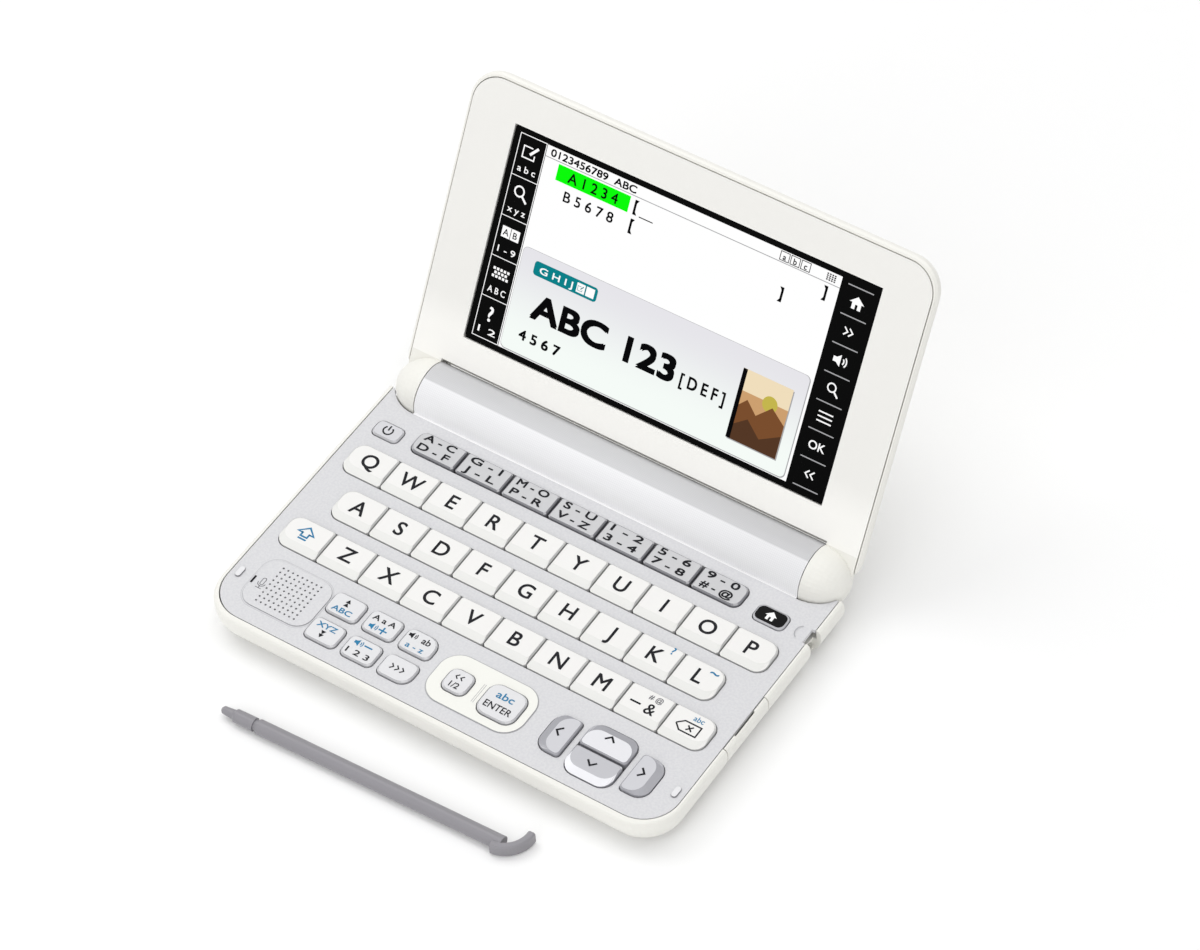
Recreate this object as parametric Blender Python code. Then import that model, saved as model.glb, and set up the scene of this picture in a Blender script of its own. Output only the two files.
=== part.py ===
"""Electronic dictionary with a hinged lid: keyboard base, touch display, stylus and cells.

Places in the plan are measured from the middle of the letter keys, heights from the table.
The pieces of the lid are modelled in the lid's own frame, whose origin is the hinge axis,
with +Y up the lid and +Z out of its face. An empty on the axis turns them to the rest pose.
The cells set the barrel, and the barrel sets the width of the deck, the keys and the lid.
The depth of the base sets the letter rows and the length of the lid.
"""

import math

import bmesh
import bpy

MM = 0.001

# Shared clearances
SEAM = 0.3 * MM
OVERRUN = 3.0 * MM
SLIVER = 0.05 * MM

# Plan of the whole set: the middle of its box lies this far behind the middle of the keys
PLAN_CENTRE = 13.64 * MM

# Cells
CELL_RADIUS = 7.25 * MM
CELL_LENGTH = 49.2 * MM
CELL_COUNT = 2
CELL_NUB_RADIUS = 2.75 * MM
CELL_NUB = 1.3 * MM
CELL_BEVEL = 0.5 * MM

# Hinge barrel round the cells, with a post for the hinge on the left and one for the cable
BARREL_WALL = 0.95 * MM
TROUGH_GAP = 0.9 * MM
COVER_GAP = 0.5 * MM
HINGE_POST = 15.0 * MM
CABLE_POST = 6.0 * MM
BAY_RADIUS = CELL_RADIUS + SEAM
BARREL_RADIUS = BAY_RADIUS + BARREL_WALL
TROUGH_RADIUS = BARREL_RADIUS + TROUGH_GAP
COVER_INNER_RADIUS = BAY_RADIUS + COVER_GAP
BAY_LENGTH = CELL_COUNT * (CELL_LENGTH + CELL_NUB) + 2.0 * SEAM
BARREL_HALF = 0.5 * (HINGE_POST + BAY_LENGTH + CABLE_POST)
BAY_LEFT = HINGE_POST - BARREL_HALF
BAY_RIGHT = BARREL_HALF - CABLE_POST
BARREL_SEGMENTS = 40
COVER_FLOOR = 1.3 * MM
FLOOR_LEDGE = 1.05 * MM
JOURNAL_RADIUS = 3.0 * MM
JOURNAL_BORE = 1.5 * MM
HINGE_UNIT_RADIUS = 3.4 * MM
HINGE_END_WALL = 2.5 * MM
HINGE_UNIT_LENGTH = HINGE_POST - HINGE_END_WALL
HINGE_SHAFT_RADIUS = 1.9 * MM
HINGE_FLAT = 0.5 * MM

# Heights of the base case
FOOT_HEIGHT = 1.0 * MM
FOOT_RADIUS = 3.5 * MM
TROUGH_LIFT = 0.6 * MM
AXIS_RISE = 0.4 * MM
AXIS_Z = FOOT_HEIGHT + TROUGH_LIFT + TROUGH_RADIUS
DECK_TOP = AXIS_Z - AXIS_RISE
DECK_SKIN = 1.2 * MM
KEY_WELL_DEPTH = 3.3 * MM
WELL_FLOOR = DECK_TOP - KEY_WELL_DEPTH

# Width of the base case, and its round edge as shares of its height and of the flare
DECK_EAR = 10.15 * MM
DECK_HALF_WIDTH = BARREL_HALF + DECK_EAR
DECK_CORNER = 10.4 * MM
TRIM_SIDE = 1.55 * MM
TRIM_FRONT = 1.95 * MM
TRIM_RISE = 0.1 * MM
TRIM_EASE = 0.9 * MM
CASE_FLARE = 5.2 * MM
CASE_EDGE_SHARES = (
    (0.0, 1.0),
    (0.083, 0.577),
    (0.271, 0.231),
    (0.542, 0.038),
    (0.771, 0.0),
    (0.906, 0.019),
    (0.979, 0.087),
)
CORNER_SEGMENTS = 10
FOOT_INSET_X = 15.0 * MM
FOOT_INSET_Y = 13.0 * MM

# Depth of the base from its front face to the hinge axis, less the borders of the letter rows
BASE_DEPTH = 92.32 * MM
CATEGORY_BEHIND = 8.4 * MM
AXIS_BEHIND = 16.52 * MM
FRONT_ROW_AHEAD = 13.1 * MM
FRONT_MARGIN = 12.75 * MM
ROWS_BORDER = CATEGORY_BEHIND + AXIS_BEHIND + FRONT_ROW_AHEAD + FRONT_MARGIN + TRIM_FRONT
ROWS_DEPTH = BASE_DEPTH - ROWS_BORDER

# Letter keys, whose pitches fill the deck between its margins
LETTER_ROWS = ("qwertyuiop", "asdfghjkl", "zxcvbnm")
DECK_SIDE = 3.95 * MM
KEY_PITCH = 2.0 * (DECK_HALF_WIDTH - DECK_SIDE) / len(LETTER_ROWS[0])
ROW_GAP = 4.35 * MM
ROW_PITCH = (ROWS_DEPTH + ROW_GAP) / len(LETTER_ROWS)
KEY_GAP = 0.4 * MM
LETTER_DEPTH = ROW_PITCH - ROW_GAP
LETTER_RISE = 1.0 * MM
LETTER_SLOPE = 2.3 * MM
LETTER_NOSE = 0.3 * MM
KEY_BEVEL = 0.35 * MM
KEY_CORNER = 0.5 * MM
CORNER_LIMIT_SHARE = 0.45
END_ROUND = 3.2 * MM
END_CORNER = min(END_ROUND, CORNER_LIMIT_SHARE * LETTER_DEPTH)
KEY_FLANGE = 0.7 * MM
FLANGE_THICKNESS = 0.6 * MM
FLANGE_DROP = 1.5 * MM
ROWS_REACH = ROW_PITCH + 0.5 * LETTER_DEPTH

# Category strip, power key and home key
CATEGORY_COUNT = 7
CATEGORY_MARGIN_LEFT = 16.15 * MM
CATEGORY_MARGIN_RIGHT = 21.05 * MM
CATEGORY_LEFT = CATEGORY_MARGIN_LEFT - DECK_HALF_WIDTH
CATEGORY_PITCH = (DECK_HALF_WIDTH - CATEGORY_MARGIN_RIGHT - CATEGORY_LEFT) / CATEGORY_COUNT
CATEGORY_Y = ROWS_REACH + CATEGORY_BEHIND
CATEGORY_DEPTH = 7.4 * MM
CATEGORY_GAP = 0.7 * MM
CATEGORY_RISE = 0.82 * MM
CATEGORY_CORNER = 2.2 * MM
POWER_MARGIN = 8.25 * MM
POWER_X = POWER_MARGIN - DECK_HALF_WIDTH
POWER_WIDTH = 8.4 * MM
HOME_MARGIN = 12.15 * MM
HOME_X = DECK_HALF_WIDTH - HOME_MARGIN
HOME_WIDTH = 9.4 * MM
SMALL_SHIFT = 1.4 * MM
SMALL_Y = CATEGORY_Y - SMALL_SHIFT
SMALL_DEPTH = 5.3 * MM
SMALL_RISE = 0.6 * MM
SMALL_CORNER = 1.6 * MM

# Hinge axis behind the strip, and front row before the letters
AXIS_Y = CATEGORY_Y + AXIS_BEHIND
DECK_REAR_STEP = 4.12 * MM
DECK_REAR = AXIS_Y - DECK_REAR_STEP
BAY_FRONT_STEP = 7.22 * MM
BAY_FRONT = AXIS_Y - BAY_FRONT_STEP
FRONT_ROW_Y = -ROWS_REACH - FRONT_ROW_AHEAD
DECK_FRONT = FRONT_MARGIN - FRONT_ROW_Y

# Speaker pad and grille at the left end of the front row
PAD_RISE = 0.25 * MM
SPEAKER_MARGIN = 6.75 * MM
SPEAKER_NARROWING = 5.4 * MM
SPEAKER_WIDTH = 2.0 * KEY_PITCH - SPEAKER_NARROWING
SPEAKER_X = SPEAKER_MARGIN - DECK_HALF_WIDTH + 0.5 * SPEAKER_WIDTH
SPEAKER_SHIFT = 0.6 * MM
SPEAKER_Y = FRONT_ROW_Y + SPEAKER_SHIFT
SPEAKER_DEPTH = 16.4 * MM
SPEAKER_CORNER = 4.5 * MM
GRILLE_COUNT = 9
GRILLE_BORDER = 2.04 * MM
GRILLE_PITCH = (SPEAKER_DEPTH - 2.0 * GRILLE_BORDER) / (GRILLE_COUNT - 1)
GRILLE_RADIUS = 0.33 * MM
GRILLE_SHIFT = 0.5 * MM
GRILLE_X = SPEAKER_X + GRILLE_SHIFT
LAMP_MARGIN = 7.05 * MM
LAMP_X = LAMP_MARGIN - DECK_HALF_WIDTH
LAMP_SHIFT = 0.2 * MM
LAMP_Y = FRONT_ROW_Y - LAMP_SHIFT
LAMP_WIDTH = 0.7 * MM
LAMP_DEPTH = 2.6 * MM
BUMPER_MARGIN = 2.55 * MM
BUMPER_X = DECK_HALF_WIDTH - BUMPER_MARGIN
BUMPER_Y = FRONT_ROW_Y
BUMPER_WIDTH = 1.5 * MM
BUMPER_DEPTH = 3.4 * MM
BUMPER_RISE = 0.45 * MM

# Function keys beside the speaker
FUNCTION_NARROWING = 1.8 * MM
FUNCTION_GAP = 1.8 * MM
FUNCTION_PITCH_X = KEY_PITCH - FUNCTION_NARROWING
FUNCTION_PITCH_Y = 9.6 * MM
FUNCTION_WIDTH = FUNCTION_PITCH_X - FUNCTION_GAP
FUNCTION_DEPTH = 7.2 * MM
SPEAKER_GAP = 0.65 * MM
FUNCTION_LEFT = SPEAKER_X + 0.5 * SPEAKER_WIDTH + SPEAKER_GAP
FUNCTION_X = FUNCTION_LEFT + 0.5 * FUNCTION_WIDTH
FUNCTION_SHIFT = 0.2 * MM
FUNCTION_Y = FRONT_ROW_Y + 0.5 * FUNCTION_PITCH_Y - FUNCTION_SHIFT
FUNCTION_RISE = 0.75 * MM
FUNCTION_CORNER = 1.7 * MM
FUNCTION_OUTER_CORNER = 3.4 * MM

# Enter pad with the back and enter keys
ENTER_PAD_GAP = 3.15 * MM
ENTER_PAD_WIDENING = 2.8 * MM
ENTER_PAD_LEFT = FUNCTION_LEFT + 2.0 * FUNCTION_PITCH_X + FUNCTION_WIDTH + ENTER_PAD_GAP
ENTER_PAD_WIDTH = 2.0 * KEY_PITCH + ENTER_PAD_WIDENING
ENTER_PAD_X = ENTER_PAD_LEFT + 0.5 * ENTER_PAD_WIDTH
ENTER_PAD_DEPTH = 16.4 * MM
ENTER_PAD_CORNER = 6.0 * MM
BACK_INSET = 7.7 * MM
BACK_X = ENTER_PAD_LEFT + BACK_INSET
BACK_SIZE = 7.4 * MM
BACK_CORNER = 2.2 * MM
ENTER_INSET = 8.3 * MM
ENTER_X = ENTER_PAD_LEFT + ENTER_PAD_WIDTH - ENTER_INSET
ENTER_NARROWING = 1.9 * MM
ENTER_WIDTH = KEY_PITCH - ENTER_NARROWING
ENTER_DEPTH = 10.4 * MM
ENTER_CORNER = 3.0 * MM
PAD_KEY_SHIFT = 0.3 * MM
PAD_KEY_Y = FRONT_ROW_Y - PAD_KEY_SHIFT
PAD_KEY_RISE = 0.95 * MM

# Arrow keys at the right end of the front row
ARROW_MARGIN = 8.2 * MM
ARROW_WIDENING = 0.9 * MM
ARROW_WIDTH = KEY_PITCH + ARROW_WIDENING
ARROW_DEPTH = 8.2 * MM
ARROW_GAP = 0.7 * MM
ARROW_SIDE_GAP = 2.15 * MM
SIDE_ARROW_WIDTH = 7.5 * MM
SIDE_ARROW_DEPTH = 12.3 * MM
SIDE_ARROW_OFFSET = 0.5 * (ARROW_WIDTH + SIDE_ARROW_WIDTH) + ARROW_SIDE_GAP
ARROW_X = DECK_HALF_WIDTH - ARROW_MARGIN - 0.5 * SIDE_ARROW_WIDTH - SIDE_ARROW_OFFSET
ARROW_SHIFT = 0.55 * MM
ARROW_Y = FRONT_ROW_Y - ARROW_SHIFT
ARROW_RISE = 1.1 * MM
ARROW_SLOPE = 2.1 * MM
ARROW_NOSE = 0.25 * MM
ARROW_CORNER = 3.6 * MM
ARROW_INNER_CORNER = 1.0 * MM

# Lid, which closes over the base, and its round back as shares of its thickness and curve
LID_ANGLE = math.radians(59.6)
LID_SIDE_OVERHANG = 0.85 * MM
LID_FRONT_OVERHANG = 0.38 * MM
LID_HALF_WIDTH = DECK_HALF_WIDTH + LID_SIDE_OVERHANG
LID_TOP = BASE_DEPTH + LID_FRONT_OVERHANG
LID_CORNER = 9.3 * MM
LID_FOOT = 1.0 * MM
LID_FOOT_CORNER = 6.0 * MM
FACE_SETBACK = 1.33 * MM
LID_THICKNESS = 6.6 * MM
LID_CURVE = 6.4 * MM
LID_CORNER_SHARE = 0.6
LID_BACK_SHARES = (
    (0.023, 0.086),
    (0.121, 0.0),
    (0.333, 0.0),
    (0.545, 0.078),
    (0.758, 0.266),
    (0.909, 0.563),
    (1.0, 1.0),
)
RIM_SIDE = 1.2 * MM
RIM_TOP = 1.5 * MM
BEZEL_HALF_WIDTH = LID_HALF_WIDTH - RIM_SIDE
BEZEL_TOP = LID_TOP - RIM_TOP
BEZEL_CORNER = 8.2 * MM
BEZEL_FOOT = 9.5 * MM
BEZEL_SKIN = 1.3 * MM
POCKET_INSET = 2.4 * MM
LID_SKIN = 1.4 * MM
LID_CLEARANCE_RADIUS = TROUGH_RADIUS + SEAM
ARM_INNER = BARREL_HALF + SEAM
DOME_SWELL = 0.1 * MM
DOME_EDGE = 0.5 * MM
DOME_RADIUS = BARREL_RADIUS + DOME_SWELL
DOME_REACH = LID_HALF_WIDTH - ARM_INNER - DOME_EDGE
DOME_END_WALL = 4.0 * MM
DOME_SHAFT_DEPTH = DOME_REACH - DOME_END_WALL

# Display
PANEL_SHIFT = 0.3 * MM
PANEL_SIDE = 14.3 * MM
PANEL_HALF_WIDTH = BEZEL_HALF_WIDTH - PANEL_SIDE
PANEL_HEADROOM = 10.37 * MM
PANEL_FOOT = 18.27 * MM
PANEL_TOP = BEZEL_TOP - PANEL_HEADROOM
PANEL_DROP = 0.35 * MM
PANEL_LEDGE = 1.2 * MM
PANEL_CORNER = 0.6 * MM

# Stylus, its silo and the notch for its head
STYLUS_RADIUS = 2.1 * MM
STYLUS_START = 20.95 * MM
STYLUS_AWAY = 19.6 * MM
STYLUS_TIP_X = STYLUS_START - DECK_HALF_WIDTH
STYLUS_TIP_Y = -DECK_FRONT - TRIM_FRONT - STYLUS_AWAY
STYLUS_ANGLE = math.radians(1.9)
STYLUS_LENGTH = 87.0 * MM
NIB_LENGTH = 4.0 * MM
NIB_RADIUS = 1.1 * MM
NIB_TIP_RADIUS = 0.55 * MM
COLLAR_LENGTH = 6.4 * MM
COLLAR_EASE = 0.15 * MM
COLLAR_RADIUS = STYLUS_RADIUS - COLLAR_EASE
NECK_LENGTH = 1.1 * MM
NECK_RADIUS = 1.55 * MM
EDGE_EASE = 0.45 * MM
HEAD_SETBACK = 2.5 * MM
HEAD_OUTER = 8.66 * MM
HEAD_WIDTH = 2.06 * MM
HEAD_INNER = HEAD_OUTER - HEAD_WIDTH
HEAD_LAP = 1.1 * MM
HEAD_CENTRE_X = STYLUS_LENGTH - HEAD_SETBACK
HEAD_CENTRE_Y = HEAD_INNER - HEAD_LAP
HEAD_HEIGHT = 3.9 * MM
SILO_GAP = 0.4 * MM
SILO_RADIUS = STYLUS_RADIUS + SILO_GAP
SILO_SHIFT = 0.1 * MM
SILO_Y = SMALL_Y - SILO_SHIFT
SILO_FLOOR = 0.9 * MM
SILO_Z = FOOT_HEIGHT + SILO_FLOOR + SILO_RADIUS
SILO_SPARE = 5.0 * MM
SILO_DEPTH = STYLUS_LENGTH + SILO_SPARE
NOTCH_HALF = 2.5 * MM
NOTCH_INSET = 1.05 * MM
NOTCH_INNER = DECK_HALF_WIDTH - NOTCH_INSET

# Card slot and its cover
CARD_AHEAD = 5.6 * MM
CARD_Y = -CARD_AHEAD
CARD_COVER_LENGTH = 19.0 * MM
CARD_HINGE_INSET = 0.25 * MM
CARD_HINGE_X = DECK_HALF_WIDTH - CARD_HINGE_INSET
CARD_HINGE_DROP = 6.2 * MM
CARD_HINGE_Z = DECK_TOP - CARD_HINGE_DROP
CARD_BEAD = 0.8 * MM
CARD_COVER_INNER = DECK_HALF_WIDTH + SEAM
CARD_SLOT_LENGTH = 11.6 * MM
CARD_SLOT_HEIGHT = 1.4 * MM
CARD_SLOT_LIFT = 1.5 * MM
CARD_SLOT_Z = CARD_HINGE_Z + CARD_SLOT_LIFT
CARD_SLOT_DEPTH = 15.0 * MM
NAIL_LENGTH = 9.2 * MM
NAIL_WIDTH = 0.45 * MM
NAIL_DEPTH = 0.9 * MM


def clear_scene():
    """Empty the scene that Blender starts with."""
    for thing in list(bpy.data.objects):
        bpy.data.objects.remove(thing, do_unlink=True)


def material(name, colour, roughness, metallic=0.0):
    """Return the named Principled material, made once."""
    found = bpy.data.materials.get(name)
    if found:
        return found
    made = bpy.data.materials.new(name)
    made.use_nodes = True
    shader = made.node_tree.nodes["Principled BSDF"]
    shader.inputs["Base Color"].default_value = (*colour, 1.0)
    shader.inputs["Roughness"].default_value = roughness
    shader.inputs["Metallic"].default_value = metallic
    made.diffuse_color = (*colour, 1.0)
    return made


def empty(name, parent=None, location=(0.0, 0.0, 0.0), turn_x=0.0):
    """Return an empty that carries other objects."""
    holder = bpy.data.objects.new(name, None)
    bpy.context.scene.collection.objects.link(holder)
    holder.parent = parent
    holder.location = location
    holder.rotation_euler = (turn_x, 0.0, 0.0)
    return holder


def mesh_from(name, shape):
    """Turn a bmesh into a mesh whose round faces are shaded smooth."""
    bmesh.ops.recalc_face_normals(shape, faces=shape.faces)
    mesh = bpy.data.meshes.new(name)
    shape.to_mesh(mesh)
    shape.free()
    mesh.shade_smooth()
    mesh.set_sharp_from_angle(angle=math.radians(35.0))
    return mesh


def place(name, mesh, finish, parent, location=(0.0, 0.0, 0.0)):
    """Add an object with this mesh and finish to the scene."""
    made = bpy.data.objects.new(name, mesh)
    bpy.context.scene.collection.objects.link(made)
    if finish and not mesh.materials:
        mesh.materials.append(finish)
    made.parent = parent
    made.location = location
    return made


def combine(target, other, operation):
    """Join a helper object to the target, or cut it away, and hide the helper."""
    other.hide_render = True
    other.display_type = "WIRE"
    step = target.modifiers.new(other.name, "BOOLEAN")
    step.operation = operation
    step.object = other
    step.solver = "EXACT"


def helper(name, shape, target, operation="DIFFERENCE", location=(0.0, 0.0, 0.0)):
    """Place a helper solid beside the target and apply it with a Boolean."""
    guide = place(name, mesh_from(name, shape), None, target.parent, location)
    combine(target, guide, operation)
    return guide


def rounded_outline(x0, x1, y0, y1, radii, segments):
    """Points of a rectangle with four round corners, from the front left one round to the right.

    A corner with no segments is square.
    """
    corners = (
        (x0, y0, 1, 1, 180.0),
        (x1, y0, -1, 1, 270.0),
        (x1, y1, -1, -1, 0.0),
        (x0, y1, 1, -1, 90.0),
    )
    points = []
    for (x, y, in_x, in_y, start), radius, count in zip(corners, radii, segments):
        if not count:
            points.append((x, y))
            continue
        for step in range(count + 1):
            angle = math.radians(start + 90.0 * step / count)
            points.append(
                (
                    x + in_x * radius + radius * math.cos(angle),
                    y + in_y * radius + radius * math.sin(angle),
                )
            )
    return points


def arc_points(centre, radius, start, stop, count):
    """Points along an arc, with angles in degrees."""
    return [
        (
            centre[0] + radius * math.cos(math.radians(start + (stop - start) * k / count)),
            centre[1] + radius * math.sin(math.radians(start + (stop - start) * k / count)),
        )
        for k in range(count + 1)
    ]


def ring_points(centre, radius, count):
    """Points evenly spaced round a circle."""
    return arc_points(centre, radius, 0.0, 360.0 - 360.0 / count, count - 1)


def loft(rings):
    """A closed solid through rings of points that have the same count."""
    shape = bmesh.new()
    rows = [[shape.verts.new(point) for point in ring] for ring in rings]
    for low, high in zip(rows, rows[1:]):
        for k, vert in enumerate(low):
            after = (k + 1) % len(low)
            shape.faces.new((vert, low[after], high[after], high[k]))
    shape.faces.new(rows[0])
    shape.faces.new(rows[-1])
    return shape


def raised(outline, height):
    """The outline's points at one height."""
    return [(x, y, height) for x, y in outline]


def prism(outline, low, high):
    """An upright prism on a plan outline."""
    return loft([raised(outline, low), raised(outline, high)])


def bar(outline, x0, x1):
    """A prism along X on an outline given in Y and Z."""
    return loft([[(x0, y, z) for y, z in outline], [(x1, y, z) for y, z in outline]])


def box(x0, x1, y0, y1, z0, z1):
    """A plain block, used as a cutter."""
    return prism([(x0, y0), (x1, y0), (x1, y1), (x0, y1)], z0, z1)


def rod(radius, x0, x1, y, z, segments):
    """A cylinder along X."""
    return bar(ring_points((y, z), radius, segments), x0, x1)


def turned(profile, segments, turn=None):
    """A solid of revolution about X, from (x, radius) points that start and end on the axis."""
    shape = bmesh.new()
    rows = []
    for x, radius in profile:
        count = segments if radius > 0.0 else 1
        rows.append(
            [
                shape.verts.new(
                    (
                        x,
                        radius * math.cos(2.0 * math.pi * k / count),
                        radius * math.sin(2.0 * math.pi * k / count),
                    )
                )
                for k in range(count)
            ]
        )
    for low, high in zip(rows, rows[1:]):
        for k in range(segments):
            after = (k + 1) % segments
            if len(low) == 1:
                shape.faces.new((low[0], high[after], high[k]))
            elif len(high) == 1:
                shape.faces.new((low[k], low[after], high[0]))
            else:
                shape.faces.new((low[k], low[after], high[after], high[k]))
    if turn:
        bmesh.ops.transform(shape, matrix=turn, verts=shape.verts)
    return shape


def half_dome(side, radius, reach, start, segments):
    """Half an ellipsoid about X, whose flat face stands at start on the given side."""
    steps = 10
    profile = [(side * start, 0.0)]
    for k in range(steps + 1):
        angle = 0.5 * math.pi * k / steps
        swell = radius * math.cos(angle) if k < steps else 0.0
        profile.append((side * (start + reach * math.sin(angle)), swell))
    return turned(profile, segments)


def dome_scoop(side):
    """Cutter that leaves a running gap round one domed end of the hinge."""
    reach = DOME_REACH + 1.5 * SEAM
    return half_dome(side, DOME_RADIUS + 2.0 * SEAM, reach, BARREL_HALF, BARREL_SEGMENTS)


def key_mesh(name, width, depth, rise, corners, slope_side="", slope=0.0, nose=0.0, flanges="fb"):
    """A key cap with a flange that stays below the deck.

    slope_side names the side whose top edge slopes down: front, back, left or right.
    flanges lists the sides that reach under the deck by their first letters.
    """
    half_x = 0.5 * width
    half_y = 0.5 * depth
    counts = [6 if corner > KEY_CORNER else 1 for corner in corners]
    side = {letter: KEY_FLANGE if letter in flanges else 0.0 for letter in "lrfb"}
    wide = rounded_outline(
        -half_x - side["l"],
        half_x + side["r"],
        -half_y - side["f"],
        half_y + side["b"],
        corners,
        counts,
    )
    cap = rounded_outline(-half_x, half_x, -half_y, half_y, corners, counts)
    sides = ("left", "right", "front", "back")
    inset = {each: slope if each == slope_side else KEY_BEVEL for each in sides}
    top = rounded_outline(
        -half_x + inset["left"],
        half_x - inset["right"],
        -half_y + inset["front"],
        half_y - inset["back"],
        corners,
        counts,
    )

    def shoulder(x, y):
        reach = {
            "front": y + half_y,
            "back": half_y - y,
            "left": x + half_x,
            "right": half_x - x,
        }.get(slope_side, slope)
        share = min(1.0, reach / slope) if slope else 1.0
        return nose + share * (rise - KEY_BEVEL - nose)

    rings = [
        raised(wide, -FLANGE_DROP - FLANGE_THICKNESS),
        raised(wide, -FLANGE_DROP),
        raised(cap, -FLANGE_DROP),
        [(x, y, shoulder(x, y)) for x, y in cap],
        raised(top, rise),
    ]
    return mesh_from(name, loft(rings))


def opening(outline):
    """A cutter through the deck on this outline."""
    return prism(outline, DECK_TOP - DECK_SKIN - OVERRUN, DECK_TOP + OVERRUN)


def key_opening(cx, cy, width, depth, corners):
    """A cutter for one key, or for a row of keys that have no web between them."""
    counts = [6 if corner > KEY_CORNER else 1 for corner in corners]
    half_x = 0.5 * width + SEAM
    half_y = 0.5 * depth + SEAM
    radii = [corner + SEAM for corner in corners]
    return opening(rounded_outline(cx - half_x, cx + half_x, cy - half_y, cy + half_y, radii, counts))


def case_rings():
    """Plan rings of the base case from its underside to its top edge."""
    levels = [
        (FOOT_HEIGHT + up * (DECK_TOP - FOOT_HEIGHT), inset * CASE_FLARE) for up, inset in CASE_EDGE_SHARES
    ]
    levels.append((DECK_TOP + TRIM_RISE, TRIM_EASE))
    rings = []
    for height, inset in levels:
        half = DECK_HALF_WIDTH + TRIM_SIDE - inset
        front = DECK_FRONT + TRIM_FRONT - inset
        radius = DECK_CORNER + TRIM_SIDE - inset
        outline = rounded_outline(
            -half, half, -front, AXIS_Y, (radius, radius, 0.0, 0.0), (CORNER_SEGMENTS, CORNER_SEGMENTS, 0, 0)
        )
        rings.append(raised(outline, height))
    return rings


def lip_angle(radius):
    """Angle about the hinge axis where a round wall reaches the height of the well floor."""
    return -math.degrees(math.asin((AXIS_Z - WELL_FLOOR) / radius))


def trough_outline():
    """Section of the case behind the keyboard: a floor that rises into the barrel's lower half."""
    front = BAY_FRONT - OVERRUN
    arc = arc_points((AXIS_Y, AXIS_Z), TROUGH_RADIUS, -100.0, lip_angle(TROUGH_RADIUS), 16)
    return [(front, FOOT_HEIGHT), *arc, (AXIS_Y, WELL_FLOOR), (front, WELL_FLOOR)]


def build_bottom_case(parent):
    """Lower case with trim wall, key well, barrel ends, stylus silo, card slot and feet."""
    case = place("bottom_case", mesh_from("bottom_case", loft(case_rings())), CASE, parent)
    helper("case_trough", bar(trough_outline(), -BARREL_HALF + SEAM, BARREL_HALF - SEAM), case, "UNION")
    for side in (-1.0, 1.0):
        for reach in (-DECK_FRONT + FOOT_INSET_Y, DECK_REAR - FOOT_INSET_Y):
            centre = (side * (DECK_HALF_WIDTH - FOOT_INSET_X), reach)
            foot = prism(ring_points(centre, FOOT_RADIUS, 24), 0.0, FOOT_HEIGHT + SEAM)
            helper("case_foot", foot, case, "UNION")
    half = DECK_HALF_WIDTH + 0.5 * SEAM
    well = rounded_outline(
        -half,
        half,
        -DECK_FRONT - 0.5 * SEAM,
        AXIS_Y + TROUGH_RADIUS + OVERRUN,
        (DECK_CORNER, DECK_CORNER, 0.0, 0.0),
        (CORNER_SEGMENTS, CORNER_SEGMENTS, 0, 0),
    )
    helper("case_well", prism(well, WELL_FLOOR, DECK_TOP + OVERRUN), case)
    for side in (-1.0, 1.0):
        inner, outer = sorted((side * BARREL_HALF, side * (DECK_HALF_WIDTH + TRIM_SIDE + OVERRUN)))
        rear_box = box(
            inner,
            outer,
            DECK_REAR + 0.5 * SEAM,
            AXIS_Y + TROUGH_RADIUS + OVERRUN,
            FOOT_HEIGHT + FLOOR_LEDGE,
            DECK_TOP + OVERRUN,
        )
        helper("case_rear_gap", rear_box, case)
        helper("case_scoop", dome_scoop(side), case, location=(0.0, AXIS_Y, AXIS_Z))
    bay = box(
        BAY_LEFT,
        BAY_RIGHT,
        BAY_FRONT,
        AXIS_Y + TROUGH_RADIUS + OVERRUN,
        -OVERRUN,
        DECK_TOP,
    )
    helper("case_bay", bay, case)
    helper(
        "case_bore",
        rod(BAY_RADIUS, BAY_LEFT, BAY_RIGHT, AXIS_Y, AXIS_Z, BARREL_SEGMENTS),
        case,
    )
    tower = BAY_RADIUS - SEAM
    end = BARREL_HALF - 2.0 * SEAM
    for name, start, stop in (("left", -end, BAY_LEFT), ("right", BAY_RIGHT, end)):
        post = rod(tower, start, stop, AXIS_Y, AXIS_Z, BARREL_SEGMENTS)
        helper(f"case_tower_{name}", post, case, "UNION")
    journal_end = ARM_INNER + DOME_SHAFT_DEPTH - SEAM
    journal = rod(JOURNAL_RADIUS, BAY_RIGHT + SEAM, journal_end, AXIS_Y, AXIS_Z, 24)
    helper("case_journal", journal, case, "UNION")
    wire = rod(JOURNAL_BORE, BAY_RIGHT - OVERRUN, journal_end + OVERRUN, AXIS_Y, AXIS_Z, 16)
    helper("case_wire_way", wire, case)
    unit = rod(
        HINGE_UNIT_RADIUS + SEAM,
        -end - OVERRUN,
        -end + HINGE_UNIT_LENGTH + SEAM,
        AXIS_Y,
        AXIS_Z,
        24,
    )
    helper("case_hinge_seat", unit, case)
    build_silo(case)
    build_card_slot(case)
    return case


def build_silo(case):
    """Bore for the stylus and the notch that its head drops into."""
    wall = DECK_HALF_WIDTH + TRIM_SIDE + OVERRUN
    helper("case_silo", rod(SILO_RADIUS, wall - SILO_DEPTH, wall, SILO_Y, SILO_Z, 20), case)
    notch = box(
        NOTCH_INNER, wall, SILO_Y - NOTCH_HALF, SILO_Y + NOTCH_HALF, SILO_Z - SILO_RADIUS, DECK_TOP + OVERRUN
    )
    helper("case_notch", notch, case)


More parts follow.
